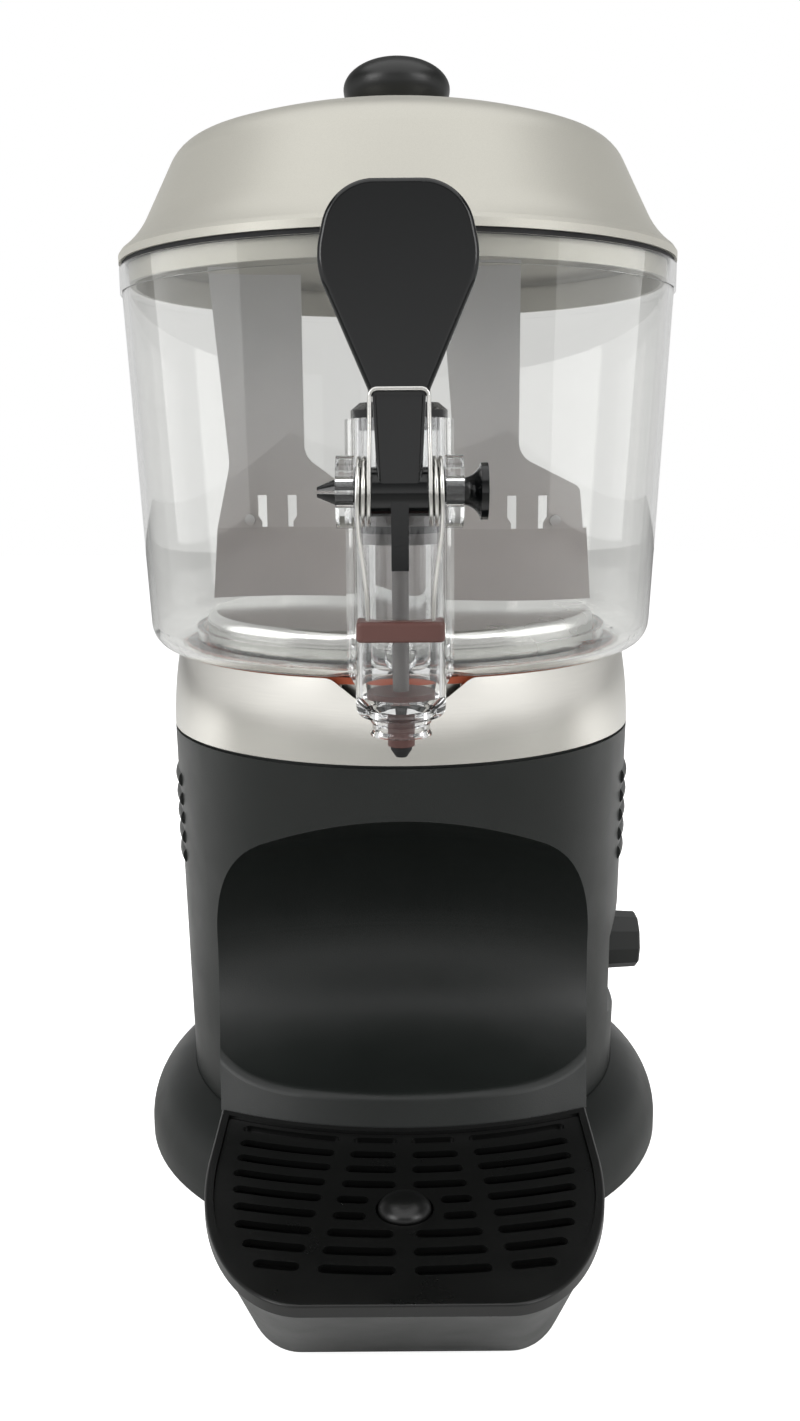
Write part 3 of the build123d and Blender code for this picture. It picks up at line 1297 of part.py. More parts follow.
# Lever handle: paddle, neck, hub, finger into the barrel and a stop rib
with BuildPart() as tap_handle:
    with BuildSketch(PIN_PLANE):
        with BuildLine():
            neck = Line((0, NECK_RISE), (NECK_HALF, NECK_RISE))
            FilletPolyline(
                neck @ 1,
                (NECK_HALF, NECK_RISE + PADDLE_FILLET),
                (PADDLE_HALF, PADDLE_WIDE_RISE),
                (PADDLE_HALF - PADDLE_SET_IN, PADDLE_RISE),
                (0, PADDLE_RISE),
                radius=[PADDLE_FILLET, PADDLE_WIDE_RADIUS, PADDLE_TOP_RADIUS],
            )
            mirror(about=Plane.YZ)
        make_face()
    extrude(amount=2 * LUG_RADIUS, both=True)
    with BuildSketch(SIDE):
        with BuildLine():
            front = ThreePointArc(
                (-PIVOT_REACH - PADDLE_FRONT, PIVOT_Z),
                (-PIVOT_REACH - PADDLE_FRONT + PADDLE_HOLLOW, PIVOT_Z + PADDLE_RISE / 2),
                (-PIVOT_REACH + PADDLE_LEAN - PADDLE_FRONT, PIVOT_Z + PADDLE_RISE + HUB_RADIUS),
            )
            back = ThreePointArc(
                (-PIVOT_REACH + PADDLE_LEAN - PADDLE_BACK, PIVOT_Z + PADDLE_RISE + HUB_RADIUS),
                (-PIVOT_REACH + PADDLE_BACK, PIVOT_Z + PADDLE_RISE / 2),
                (-PIVOT_REACH + PADDLE_BACK * 2, PIVOT_Z),
            )
            Line(front @ 1, back @ 0)
            Line(back @ 1, front @ 0)
        make_face()
    extrude(amount=2 * PADDLE_HALF, both=True, mode=Mode.INTERSECT)
    paddle_rim = tap_handle.edges().filter_by(lambda edge: edge.center().Z > PIVOT_Z + NECK_RISE + SEAT_GAP)
    fillet(paddle_rim, PADDLE_FILLET)
    block_low = Plane((0, AXIS_Y - PIVOT_REACH, PIVOT_Z))
    block_high = Plane((0, AXIS_Y - PIVOT_REACH, PIVOT_Z + NECK_RISE))
    with BuildSketch(block_low):
        RectangleRounded(2 * BLOCK_HALF, 2 * PADDLE_FRONT, PADDLE_FILLET)
    with BuildSketch(block_high):
        with Locations((0, -PADDLE_BACK)):
            RectangleRounded(2 * BLOCK_TOP_HALF, PADDLE_FRONT + PADDLE_BACK, PADDLE_FILLET)
    loft(ruled=True)
    with Locations(lying(-PIVOT_REACH, PIVOT_Z)):
        Cylinder(HUB_RADIUS, 2 * (LUG_INNER - SLIDE_GAP))
    with Locations((0, AXIS_Y - PIVOT_REACH - RIB_BACK, PIVOT_Z)):
        Box(RIB_WIDTH, RIB_THICKNESS, RIB_LENGTH, align=(Align.CENTER, Align.MAX, Align.MAX))
    with BuildSketch(SIDE):
        with Locations(Location((-PIVOT_REACH, PIVOT_Z), -FINGER_DROOP)):
            with Locations((FINGER_LENGTH / 2, 0)):
                Rectangle(FINGER_LENGTH, FINGER_STEM)
            with Locations((FINGER_LENGTH, 0)):
                Circle(FINGER_HEIGHT / 2)
    extrude(amount=FINGER_WIDTH / 2, both=True)
    with Locations(lying(-PIVOT_REACH, PIVOT_Z)):
        Cylinder(PIN_RADIUS + RUNNING_GAP, 4 * LUG_OUTER, mode=Mode.SUBTRACT)
tap_handle.part.label = "tap_handle"
export_step(tap_handle.part, "parts/tap_handle.step")

# Torsion spring: two coils beside the hub, a cross bend over the neck and two legs in the bar
BAR_Z = BOWL_Z + BAR_RISE
ARM_Z = PIVOT_Z + ARM_RISE
PIVOT_Y = AXIS_Y - PIVOT_REACH
COIL_SWEEP = COIL_TURNS * 360 + COIL_START_ANGLE


def coil_point(degrees, side):
    """Point and heading on the coil; it climbs at the front and closes towards the middle."""
    angle = math.radians(degrees)
    share = (degrees + COIL_START_ANGLE) / COIL_SWEEP
    drift = (COIL_INNER - COIL_OUTER) / math.radians(COIL_SWEEP)
    point = Vector(
        side * (COIL_OUTER + share * (COIL_INNER - COIL_OUTER)),
        PIVOT_Y - COIL_RADIUS * math.cos(angle),
        PIVOT_Z + COIL_RADIUS * math.sin(angle),
    )
    heading = Vector(side * drift, COIL_RADIUS * math.sin(angle), COIL_RADIUS * math.cos(angle))
    return point, heading.normalized()


def biarc_joint(start, start_heading, end, end_heading):
    """Middle point of the two arcs that join two points with given headings, and the heading there."""
    span = end - start
    both = start_heading + end_heading
    spread = 2 * (1 - start_heading.dot(end_heading))
    if spread < STRAIGHT:
        reach = span.dot(span) / (4 * span.dot(end_heading))
    else:
        root = math.sqrt(span.dot(both) ** 2 + spread * span.dot(span))
        reach = (root - span.dot(both)) / spread
    first = start + start_heading * reach
    second = end - end_heading * reach
    return (first + second) * 0.5, (second - first).normalized()


def half_spring(side):
    """Points and headings of one side of the spring, from its foot in the bar to the cross bend."""
    up = Vector(0, 0, 1)
    stops = [(Vector(side * LEG_HALF, AXIS_Y - LEG_REACH, BAR_Z + BAR_HEIGHT), up)]
    for step in range(COIL_STEPS + 1):
        stops.append(coil_point(-COIL_START_ANGLE + step * COIL_SWEEP / COIL_STEPS, side))
    arm_y = PIVOT_Y - PADDLE_FRONT - WIRE_RADIUS
    stops.append((Vector(side * ARM_HALF, arm_y, ARM_Z - ARM_BEND), up))
    stops.append((Vector(side * (ARM_HALF - ARM_BEND), arm_y, ARM_Z), Vector(-side, 0, 0)))
    return stops


left_half = [(point, heading * -1) for point, heading in reversed(half_spring(-1))]
spring_stops = half_spring(1) + left_half
spring_foot = Vector(0, 0, -BAR_HEIGHT / 2)

with BuildPart() as tap_spring:
    with BuildLine() as spring_path:
        Line(spring_stops[0][0] + spring_foot, spring_stops[0][0])
        for (start, start_heading), (end, end_heading) in zip(spring_stops, spring_stops[1:]):
            if start_heading.cross(end - start).length < STRAIGHT:
                Line(start, end)
            else:
                middle, heading = biarc_joint(start, start_heading, end, end_heading)
                TangentArc(start, middle, tangent=start_heading)
                TangentArc(middle, end, tangent=heading)
        Line(spring_stops[-1][0], spring_stops[-1][0] + spring_foot)
    with BuildSketch(Plane(spring_stops[0][0] + spring_foot, z_dir=(0, 0, 1))):
        Circle(WIRE_RADIUS)
    sweep(path=spring_path.wire())
tap_spring.part.label = "tap_spring"
export_step(tap_spring.part, "parts/tap_spring.step")

spring_wire = spring_path.wire()
spring_points = [spring_wire @ (index / SPRING_SAMPLES) for index in range(SPRING_SAMPLES + 1)]
same_turn = math.ceil(4 * COIL_RADIUS * SPRING_SAMPLES / spring_wire.length)
spring_spacing = min(
    (near - far).length
    for index, near in enumerate(spring_points)
    for far in spring_points[index + same_turn:]
)
spring_ratio = tap_spring.part.volume / (math.pi * WIRE_RADIUS**2 * spring_wire.length)
print("spring length", round(spring_wire.length, 2), "volume ratio", round(spring_ratio, 4))
print("spring least gap to itself", round(spring_spacing - 2 * WIRE_RADIUS, 2))

with BuildPart() as spring_bar:
    with Locations((0, AXIS_Y - TAP_REACH, BAR_Z)):
        Box(
            2 * BAR_HALF,
            BARREL_RADIUS + BAR_DEPTH,
            BAR_HEIGHT,
            align=(Align.CENTER, Align.MAX, Align.MIN),
        )
    fillet(spring_bar.edges().filter_by(Axis.Z).group_by(Axis.Y)[0], BAR_CORNER)
    fillet(spring_bar.edges().filter_by(Axis.Y), BAR_ROUND)
    revolve(
        tap_ring(0, BARREL_RADIUS + SEAT_GAP, BAR_Z, BAR_Z + BAR_HEIGHT),
        axis=TAP_LINE,
        mode=Mode.SUBTRACT,
    )
    for side in (-1, 1):
        with Locations((side * LEG_HALF, AXIS_Y - LEG_REACH, BAR_Z + BAR_HEIGHT)):
            Cylinder(
                WIRE_RADIUS + SEAT_GAP,
                BAR_HEIGHT / 2 + SEAT_GAP,
                align=(Align.CENTER, Align.CENTER, Align.MAX),
                mode=Mode.SUBTRACT,
            )
    split(bisect_by=Plane((0, AXIS_Y - TAP_REACH - BARREL_RADIUS / 2, 0), z_dir=(0, -1, 0)))
spring_bar.part.label = "spring_bar"
export_step(spring_bar.part, "parts/spring_bar.step")

# Piston with its rod, rings, valve plug and tip
FINGER_Z = PIVOT_Z - FINGER_LENGTH * math.sin(math.radians(FINGER_DROOP))
GROOVE_HALF = FINGER_HEIGHT / 2 + SLIDE_GAP
PISTON_RADIUS = BARREL_BORE - SLIDE_GAP
PISTON_Z = FINGER_Z - GROOVE_HALF - PISTON_HEAD
PISTON_TOP_Z = FINGER_Z + GROOVE_HALF + PISTON_TOP
PLUG_Z = NOZZLE_Z - PLUG_STEM_DROP
RING_Z = PISTON_Z + PISTON_HEAD / 2 - RING_HEIGHT / 2

with BuildPart() as tap_piston:
    revolve(tap_ring(0, PISTON_ROD, PLUG_Z, PISTON_Z), axis=TAP_LINE)
    revolve(tap_ring(0, PISTON_RADIUS, PISTON_Z, PISTON_Z + PISTON_HEAD), axis=TAP_LINE)
    revolve(tap_ring(0, PISTON_NECK_RADIUS, PISTON_Z, PISTON_TOP_Z), axis=TAP_LINE)
    revolve(tap_ring(0, PISTON_RADIUS, PISTON_TOP_Z - PISTON_TOP, PISTON_TOP_Z), axis=TAP_LINE)
    revolve(
        tap_ring(PISTON_RADIUS - RING_DEPTH, BARREL_BORE, RING_Z, RING_Z + RING_HEIGHT),
        axis=TAP_LINE,
        mode=Mode.SUBTRACT,
    )
tap_piston.part.label = "tap_piston"
export_step(tap_piston.part, "parts/tap_piston.step")

with BuildPart() as piston_ring:
    revolve(
        tap_ring(PISTON_RADIUS - RING_DEPTH, BARREL_BORE - SEAT_GAP, RING_Z, RING_Z + RING_HEIGHT),
        axis=TAP_LINE,
    )
piston_ring.part.label = "piston_ring"
export_step(piston_ring.part, "parts/piston_ring.step")

FUNNEL_SLOPE = FUNNEL_HEIGHT / (BARREL_BORE - NOZZLE_BORE)
VALVE_Z = FUNNEL_Z + SLIDE_GAP * math.hypot(1, FUNNEL_SLOPE)
VALVE_RIM_Z = VALVE_Z + FUNNEL_SLOPE * (VALVE_HEAD_RADIUS - NOZZLE_BORE)

with BuildPart() as valve_plug:
    revolve(
        filled_section(
            TAP_SECTION,
            (PISTON_ROD, PLUG_Z),
            (PLUG_STEM_RADIUS, PLUG_Z),
            (PLUG_STEM_RADIUS, VALVE_Z),
            (NOZZLE_BORE, VALVE_Z),
            (VALVE_HEAD_RADIUS, VALVE_RIM_Z),
            (VALVE_HEAD_RADIUS, VALVE_RIM_Z + VALVE_HEAD_TOP),
            (PISTON_ROD, VALVE_RIM_Z + VALVE_HEAD_TOP),
        ),
        axis=TAP_LINE,
    )
valve_plug.part.label = "valve_plug"
export_step(valve_plug.part, "parts/valve_plug.step")

with BuildPart() as valve_tip:
    revolve(
        filled_section(
            TAP_SECTION,
            (0, PLUG_Z - TIP_LENGTH),
            (TIP_END_RADIUS, PLUG_Z - TIP_LENGTH),
            (TIP_RADIUS, PLUG_Z - TIP_LENGTH / 3),
            (TIP_RADIUS, PLUG_Z),
            (0, PLUG_Z),
        ),
        axis=TAP_LINE,
    )
valve_tip.part.label = "valve_tip"
export_step(valve_tip.part, "parts/valve_tip.step")

# Mixer: hub on the drive square, two bowed blades with scraper strips along the heated plate
MIXER_Z = DRUM_TOP_Z + MIXER_LIFT
STRIP_TOP_Z = MIXER_Z + SCRAPER_HEIGHT
BLADE_TOP_Z = RIM_Z + BLADE_TOP_RISE
BLADE_MIDDLE = (MIXER_HUB_RADIUS + MIXER_TIP) / 2
HUB_FOOT_Z = TUBE_TOP_Z - SHAFT_TUBE_PROUD / 2

with BuildPart() as mixer_hub:
    revolve(ring_section(0, MIXER_HUB_RADIUS, HUB_FOOT_Z, HUB_FOOT_Z + MIXER_HUB_HEIGHT), axis=MACHINE)
    fillet(mixer_hub.edges().group_by(Axis.Z)[-1], MIXER_HUB_FILLET)
    revolve(
        ring_section(0, SHAFT_TUBE_RADIUS + SEAL_PROUD, HUB_FOOT_Z, SHOULDER_Z),
        axis=MACHINE,
        mode=Mode.SUBTRACT,
    )
    with BuildSketch(level(SHOULDER_Z)):
        Rectangle(DRIVE_SQUARE + 2 * SLIDE_GAP, DRIVE_SQUARE + 2 * SLIDE_GAP)
    extrude(amount=DRIVE_LENGTH + SLIDE_GAP, mode=Mode.SUBTRACT)
mixer_hub.part.label = "mixer_hub"
export_step(mixer_hub.part, "parts/mixer_hub.step")


def blade_sheet(side):
    """Bowed upright sheet that a blade and its scraper are cut from, as a plan outline."""
    with BuildSketch(level(MIXER_Z)) as sheet:
        with Locations((side * BLADE_MIDDLE, side * (BLADE_ARC_RADIUS - BLADE_BOW))):
            Circle(BLADE_ARC_RADIUS + BLADE_SHEET / 2)
            Circle(BLADE_ARC_RADIUS - BLADE_SHEET / 2, mode=Mode.SUBTRACT)
        with Locations((side * BLADE_MIDDLE, 0)):
            Rectangle(MIXER_TIP - MIXER_HUB_RADIUS, 3 * BLADE_BOW, mode=Mode.INTERSECT)
        Circle(MIXER_HUB_RADIUS, mode=Mode.SUBTRACT)
    return sheet.sketch


def blade_outline(tall_side, low_side, panel_width):
    """Front view of a blade: a waisted tall panel, with a foot that sweeps out to the low end."""
    away = math.copysign(1, low_side - tall_side)
    panel = tall_side + away * panel_width
    with BuildSketch(SECTION) as outline:
        with BuildLine():
            tall_edge = FilletPolyline(
                (tall_side, STRIP_TOP_Z),
                (tall_side + away * WAIST_INSET, STRIP_TOP_Z + WAIST_RISE),
                (tall_side, BLADE_TOP_Z),
                radius=WAIST_FILLET,
            )
            low_edge = FilletPolyline(
                (panel, BLADE_TOP_Z),
                (panel, STRIP_TOP_Z + FLARE_TOP),
                (low_side - away * FLARE_INSET, STRIP_TOP_Z + FLARE_RISE),
                (low_side - away * FLARE_FOOT_INSET, STRIP_TOP_Z),
                radius=[FLARE_FILLET, SHOULDER_FILLET],
            )
            Line(tall_edge @ 1, low_edge @ 0)
            Line(low_edge @ 1, tall_edge @ 0)
        make_face()
    return outline.sketch


def scraper_outline(side):
    """Front view of a scraper, whose outer end leans in towards its top."""
    return filled_section(
        SECTION,
        (0, MIXER_Z),
        (side * MIXER_TIP, MIXER_Z),
        (side * (MIXER_TIP - SCRAPER_SLANT), STRIP_TOP_Z),
        (0, STRIP_TOP_Z),
    )


def blade_details(side):
    """Front view of the two slots that free a blade's tongue, and of the snap pin's hole."""
    low = STRIP_TOP_Z + TAB_SLOT_NECK
    high = STRIP_TOP_Z + TAB_SLOT_HEIGHT
    with BuildSketch(SECTION) as openings:
        for edge in (-1, 1):
            near = side * TAB_OFFSET + edge * (TAB_HALF - TAB_SLOT_WIDTH / 2)
            with BuildLine():
                Polyline(
                    (near, STRIP_TOP_Z - SEAT_GAP),
                    (near, high),
                    (near + edge * TAB_SLOT_WIDTH, high),
                    (near + edge * TAB_SLOT_WIDTH, low + TAB_SLOT_NECK),
                    (near + edge * TAB_SLOT_NECK, low),
                    (near + edge * TAB_SLOT_NECK, STRIP_TOP_Z - SEAT_GAP),
                    close=True,
                )
            make_face()
        with Locations((side * BLADE_PIN_OFFSET, STRIP_TOP_Z + BLADE_PIN_RISE)):
            Circle(BLADE_PIN_RADIUS)
    return openings.sketch


PANEL_INNER = MIXER_HUB_RADIUS + PANEL_GAP

with BuildPart() as right_scraper:
    extrude(blade_sheet(1), amount=SCRAPER_HEIGHT)
    extrude(scraper_outline(1), amount=MIXER_TIP, both=True, mode=Mode.INTERSECT)
right_scraper.part.label = "right_scraper"
export_step(right_scraper.part, "parts/right_scraper.step")

with BuildPart() as left_scraper:
    extrude(blade_sheet(-1), amount=SCRAPER_HEIGHT)
    extrude(scraper_outline(-1), amount=MIXER_TIP, both=True, mode=Mode.INTERSECT)
left_scraper.part.label = "left_scraper"
export_step(left_scraper.part, "parts/left_scraper.step")

right_shape = blade_outline(PANEL_INNER, MIXER_TIP, RIGHT_PANEL)
left_shape = blade_outline(SCRAPER_SLANT - MIXER_TIP, -PANEL_INNER, LEFT_PANEL)

with BuildPart() as right_blade:
    extrude(blade_sheet(1), amount=BLADE_TOP_Z - MIXER_Z)
    extrude(right_shape, amount=MIXER_TIP, both=True, mode=Mode.INTERSECT)
    extrude(blade_details(1), amount=MIXER_TIP, both=True, mode=Mode.SUBTRACT)
right_blade.part.label = "right_blade"
export_step(right_blade.part, "parts/right_blade.step")

with BuildPart() as left_blade:
    extrude(blade_sheet(-1), amount=BLADE_TOP_Z - MIXER_Z)
    extrude(left_shape, amount=MIXER_TIP, both=True, mode=Mode.INTERSECT)
    extrude(blade_details(-1), amount=MIXER_TIP, both=True, mode=Mode.SUBTRACT)
left_blade.part.label = "left_blade"
export_step(left_blade.part, "parts/left_blade.step")

with BuildPart() as blade_pins:
    for side in (-1, 1):
        offset = side * (BLADE_PIN_OFFSET - BLADE_MIDDLE)
        rise = BLADE_ARC_RADIUS - math.sqrt(BLADE_ARC_RADIUS**2 - offset**2)
        pin_y = AXIS_Y - side * (BLADE_BOW - rise)
        pin_place = (side * BLADE_PIN_OFFSET, pin_y, STRIP_TOP_Z + BLADE_PIN_RISE)
        with Locations(Location(pin_place, (90, 0, 0))):
            Cylinder(BLADE_PIN_RADIUS - SEAT_GAP, BLADE_SHEET + 2 * BLADE_PIN_PROUD)
blade_pins.part.label = "blade_pins"
export_step(blade_pins.part, "parts/blade_pins.step")

# Drip tray in the tongue, its grille and the level float
RIM_TOP_Z = TONGUE_Z + RIM_HEIGHT
GRILLE_Z = RIM_TOP_Z - GRILLE_DROP - GRILLE_SHEET


def tray_face(height, inset):
    """Outline of the tray at one height, drawn in by inset from its rim."""
    return tongue_face(height, inset - TRAY_OVERHANG, TRAY_BACK_GAP + inset)


with BuildPart() as drip_tray:
    extrude(tray_face(TONGUE_Z, 0), amount=RIM_HEIGHT)
    fillet(drip_tray.edges().group_by(Axis.Z)[-1], SEAL_PROUD)
    tub_inset = TRAY_INSET + TRAY_OVERHANG
    loft([tray_face(TUB_Z, tub_inset), tray_face(TONGUE_Z, tub_inset)], ruled=True)
    extrude(tray_face(GRILLE_Z, RIM_WALL), amount=RIM_HEIGHT, mode=Mode.SUBTRACT)
    cavity_inset = tub_inset + TRAY_WALL
    loft(
        [tray_face(TUB_Z + TRAY_WALL, cavity_inset), tray_face(TONGUE_Z, cavity_inset)],
        ruled=True,
        mode=Mode.SUBTRACT,
    )
    extrude(tray_face(TONGUE_Z, cavity_inset), amount=RIM_HEIGHT, mode=Mode.SUBTRACT)
    with Locations((0, AXIS_Y - FLOAT_REACH, TUB_Z + TRAY_WALL)):
        Cylinder(
            FLOAT_STEM + SLIDE_GAP + FLOAT_GUIDE_WALL,
            FLOAT_GUIDE,
            align=(Align.CENTER, Align.CENTER, Align.MIN),
        )
        Cylinder(
            FLOAT_STEM + SLIDE_GAP,
            FLOAT_GUIDE,
            align=(Align.CENTER, Align.CENTER, Align.MIN),
            mode=Mode.SUBTRACT,
        )
drip_tray.part.label = "drip_tray"
export_step(drip_tray.part, "parts/drip_tray.step")

# Grille: rows of slots round the lip's axis, parted by three webs and by the collar of the float
SLOT_START = LIP_RADIUS + TRAY_BACK_GAP + GRILLE_FIRST
FLOAT_HOLE = FLOAT_RADIUS + FLOAT_GAP


def slot_allowed(radius, swing):
    """Whether a slot's middle line may pass the point at this radius and swing about the lip's axis."""
    half, reach, corner, depth = tongue_size(TONGUE_Z, RIM_WALL + GRILLE_MARGIN - TRAY_OVERHANG)
    x = radius * math.sin(math.radians(swing))
    y = LIP_AXIS - radius * math.cos(math.radians(swing))
    beside = max(x - half + corner, 0) / corner
    ahead = max(depth - reach - y, 0) / depth
    web = (GRILLE_WEB + GRILLE_SLOT) / 2
    from_spoke = radius * math.sin(math.radians(abs(swing - GRILLE_SPOKE_ANGLE)))
    from_float = math.hypot(x, y + FLOAT_REACH)
    in_field = math.hypot(beside, ahead) < 1
    past_float = from_float > FLOAT_HOLE + FLOAT_COLLAR + GRILLE_SLOT / 2
    return in_field and past_float and min(x, from_spoke) > web


def slot_runs(radius):
    """Start and end swings of the slots of one row, on the right of the middle web."""
    swings = [step * GRILLE_SWING_ANGLE / GRILLE_STEPS for step in range(GRILLE_STEPS)]
    free = [swing for swing in swings if slot_allowed(radius, swing)]
    inner = [swing for swing in free if swing < GRILLE_SPOKE_ANGLE]
    outer = [swing for swing in free if swing > GRILLE_SPOKE_ANGLE]
    return [(run[0], run[-1]) for run in (inner, outer) if len(run) > 1]


with BuildPart() as drip_grille:
    extrude(tray_face(GRILLE_Z, RIM_WALL + SLIDE_GAP), amount=GRILLE_SHEET)
    with BuildSketch(level(GRILLE_Z)):
        for row in range(GRILLE_ROWS):
            radius = SLOT_START + row * GRILLE_PITCH
            for start, end in slot_runs(radius):
                for turn in (start - 90, -90 - end):
                    line = Edge.make_circle(radius, Plane((0, LIP_AXIS, 0)), turn, turn + end - start)
                    SlotArc(line, GRILLE_SLOT)
    extrude(amount=GRILLE_SHEET, mode=Mode.SUBTRACT)
    with Locations((0, AXIS_Y - FLOAT_REACH, GRILLE_Z)):
        Hole(FLOAT_HOLE)
drip_grille.part.label = "drip_grille"
export_step(drip_grille.part, "parts/drip_grille.step")

with BuildPart() as level_float:
    head_z = GRILLE_Z - FLOAT_HEAD / 2
    with BuildSketch(Plane((0, AXIS_Y - FLOAT_REACH, 0), x_dir=(1, 0, 0), z_dir=(0, -1, 0))):
        with BuildLine():
            head_top = (0, head_z + FLOAT_HEAD)
            dome = EllipticalCenterArc(head_top, FLOAT_RADIUS, FLOAT_DOME, arc_size=dome_arc(FLOAT_RADIUS))
            Polyline(
                dome @ 1,
                (0, (dome @ 1).Y),
                (0, TUB_Z + TRAY_WALL),
                (FLOAT_STEM, TUB_Z + TRAY_WALL),
                (FLOAT_STEM, head_z),
                (FLOAT_RADIUS, head_z),
                dome @ 0,
            )
        make_face()
    revolve(axis=Axis((0, AXIS_Y - FLOAT_REACH, 0), (0, 0, 1)))
level_float.part.label = "level_float"
export_step(level_float.part, "parts/level_float.step")
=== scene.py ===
import bmesh
import bpy
import math
from mathutils import Matrix, Vector


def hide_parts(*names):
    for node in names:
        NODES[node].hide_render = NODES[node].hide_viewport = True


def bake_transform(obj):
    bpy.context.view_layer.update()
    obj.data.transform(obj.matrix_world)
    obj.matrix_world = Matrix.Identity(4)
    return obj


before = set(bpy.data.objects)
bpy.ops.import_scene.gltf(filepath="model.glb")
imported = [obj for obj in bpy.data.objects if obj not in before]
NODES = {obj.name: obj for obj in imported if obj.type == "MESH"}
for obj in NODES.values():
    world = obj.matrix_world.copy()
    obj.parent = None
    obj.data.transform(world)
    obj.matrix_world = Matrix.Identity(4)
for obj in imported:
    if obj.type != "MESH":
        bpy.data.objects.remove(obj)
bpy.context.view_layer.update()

MM = 0.001
AXIS_Y = 61.25 * MM
PIVOT_REACH = 198 * MM
PIVOT_Z = 371.5 * MM
PIVOT = Vector((0, AXIS_Y - PIVOT_REACH, PIVOT_Z))


# Helpers that add nodes to a material's tree
def new_material(name):
    """Empty node material with a Principled shader and object coordinates."""
    material = bpy.data.materials.new(name)
    material.use_nodes = True
    tree = material.node_tree
    tree.nodes.clear()
    output = tree.nodes.new("ShaderNodeOutputMaterial")
    shader = tree.nodes.new("ShaderNodeBsdfPrincipled")
    coords = tree.nodes.new("ShaderNodeTexCoord")
    tree.links.new(shader.outputs["BSDF"], output.inputs["Surface"])
    return material, tree, shader, coords


def noise(tree, coords, scale, detail, stretch=None):
    """Noise texture in object space, optionally stretched along an axis."""
    texture = tree.nodes.new("ShaderNodeTexNoise")
    texture.inputs["Scale"].default_value = scale
    texture.inputs["Detail"].default_value = detail
    source = coords.outputs["Object"]
    if stretch is not None:
        mapping = tree.nodes.new("ShaderNodeMapping")
        mapping.inputs["Scale"].default_value = stretch
        tree.links.new(source, mapping.inputs["Vector"])
        source = mapping.outputs["Vector"]
    tree.links.new(source, texture.inputs["Vector"])
    return texture.outputs["Fac"]


def remap(tree, value, low, high, start=0.3, stop=0.7):
    """Value spread over a new range."""
    node = tree.nodes.new("ShaderNodeMapRange")
    node.inputs["From Min"].default_value = start
    node.inputs["From Max"].default_value = stop
    node.inputs["To Min"].default_value = low
    node.inputs["To Max"].default_value = high
    tree.links.new(value, node.inputs["Value"])
    return node.outputs["Result"]


def maths(tree, operation, first, second):
    """Maths node on two values, each a socket or a number."""
    node = tree.nodes.new("ShaderNodeMath")
    node.operation = operation
    for index, value in enumerate((first, second)):
        if isinstance(value, (int, float)):
            node.inputs[index].default_value = value
        else:
            tree.links.new(value, node.inputs[index])
    return node.outputs[0]


def blend_colour(tree, value, first, second):
    """Colour that goes from first to second with a value from 0 to 1, each a socket or a colour."""
    node = tree.nodes.new("ShaderNodeMix")
    node.data_type = "RGBA"
    for name, colour in (("A", first), ("B", second)):
        if isinstance(colour, tuple):
            node.inputs[name].default_value = (*colour, 1)
        else:
            tree.links.new(colour, node.inputs[name])
    tree.links.new(value, node.inputs["Factor"])
    return node.outputs["Result"]


def scaled(colour, factor):
    """Colour made darker or lighter, and never past white."""
    return tuple(min(1, part * factor) for part in colour)


def set_gloss(tree, shader, value, roughness, low, high):
    """Roughness that wanders between two multiples of its middle value."""
    tree.links.new(remap(tree, value, roughness * low, roughness * high), shader.inputs["Roughness"])


def add_bump(tree, shader, value, distance, strength):
    """Bump on the shader's normal."""
    node = tree.nodes.new("ShaderNodeBump")
    node.inputs["Distance"].default_value = distance
    node.inputs["Strength"].default_value = strength
    tree.links.new(value, node.inputs["Height"])
    tree.links.new(node.outputs["Normal"], shader.inputs["Normal"])


# Kinds of material: scales of their noise in cells per metre, and how far it changes their look
PATCH_SCALE = 14
BLOTCH_SCALE = 42
GRAIN_STRENGTH = 0.5
FADE_START = 0.05
FADE_STOP = 0.75
SMEAR_SCALE = 9
LINE_STRENGTH = 0.35
CLEAR_IOR = 1.49
CLEAR_HAZE = 0.03
FLOW_SCALE = 18
FLOW_STRETCH = (1, 1, 0.35)
RIPPLE_SCALE = 26
RIPPLE_STRETCH = (1, 1, 0.3)
RIPPLE_DEPTH = 0.08 * MM
RIPPLE_STRENGTH = 0.12
FLAKE_SCALE = 2600
FLAKE_TONE = 0.93
FLAKE_DEPTH = 0.02 * MM
FLAKE_STRENGTH = 0.25
CLOUD_SCALE = 7


def plastic(name, colour, roughness, tone, grain, grain_depth, ior=1.5, foot=None):
    """Moulded plastic: fine grain, blotches in gloss, and a change of tone towards any foot colour."""
    material, tree, shader, coords = new_material(name)
    patches = remap(tree, noise(tree, coords, PATCH_SCALE, 4), 0, 1)
    tint = blend_colour(tree, patches, scaled(colour, 1 - tone), scaled(colour, 1 + tone))
    if foot is not None:
        height = tree.nodes.new("ShaderNodeSeparateXYZ")
        tree.links.new(coords.outputs["Generated"], height.inputs["Vector"])
        tint = blend_colour(tree, remap(tree, height.outputs["Z"], 0, 1, FADE_START, FADE_STOP), foot, tint)
    tree.links.new(tint, shader.inputs["Base Color"])
    set_gloss(tree, shader, noise(tree, coords, BLOTCH_SCALE, 5), roughness, 0.9, 1.12)
    add_bump(tree, shader, noise(tree, coords, grain, 2), grain_depth, GRAIN_STRENGTH)
    shader.inputs["IOR"].default_value = ior
    return material


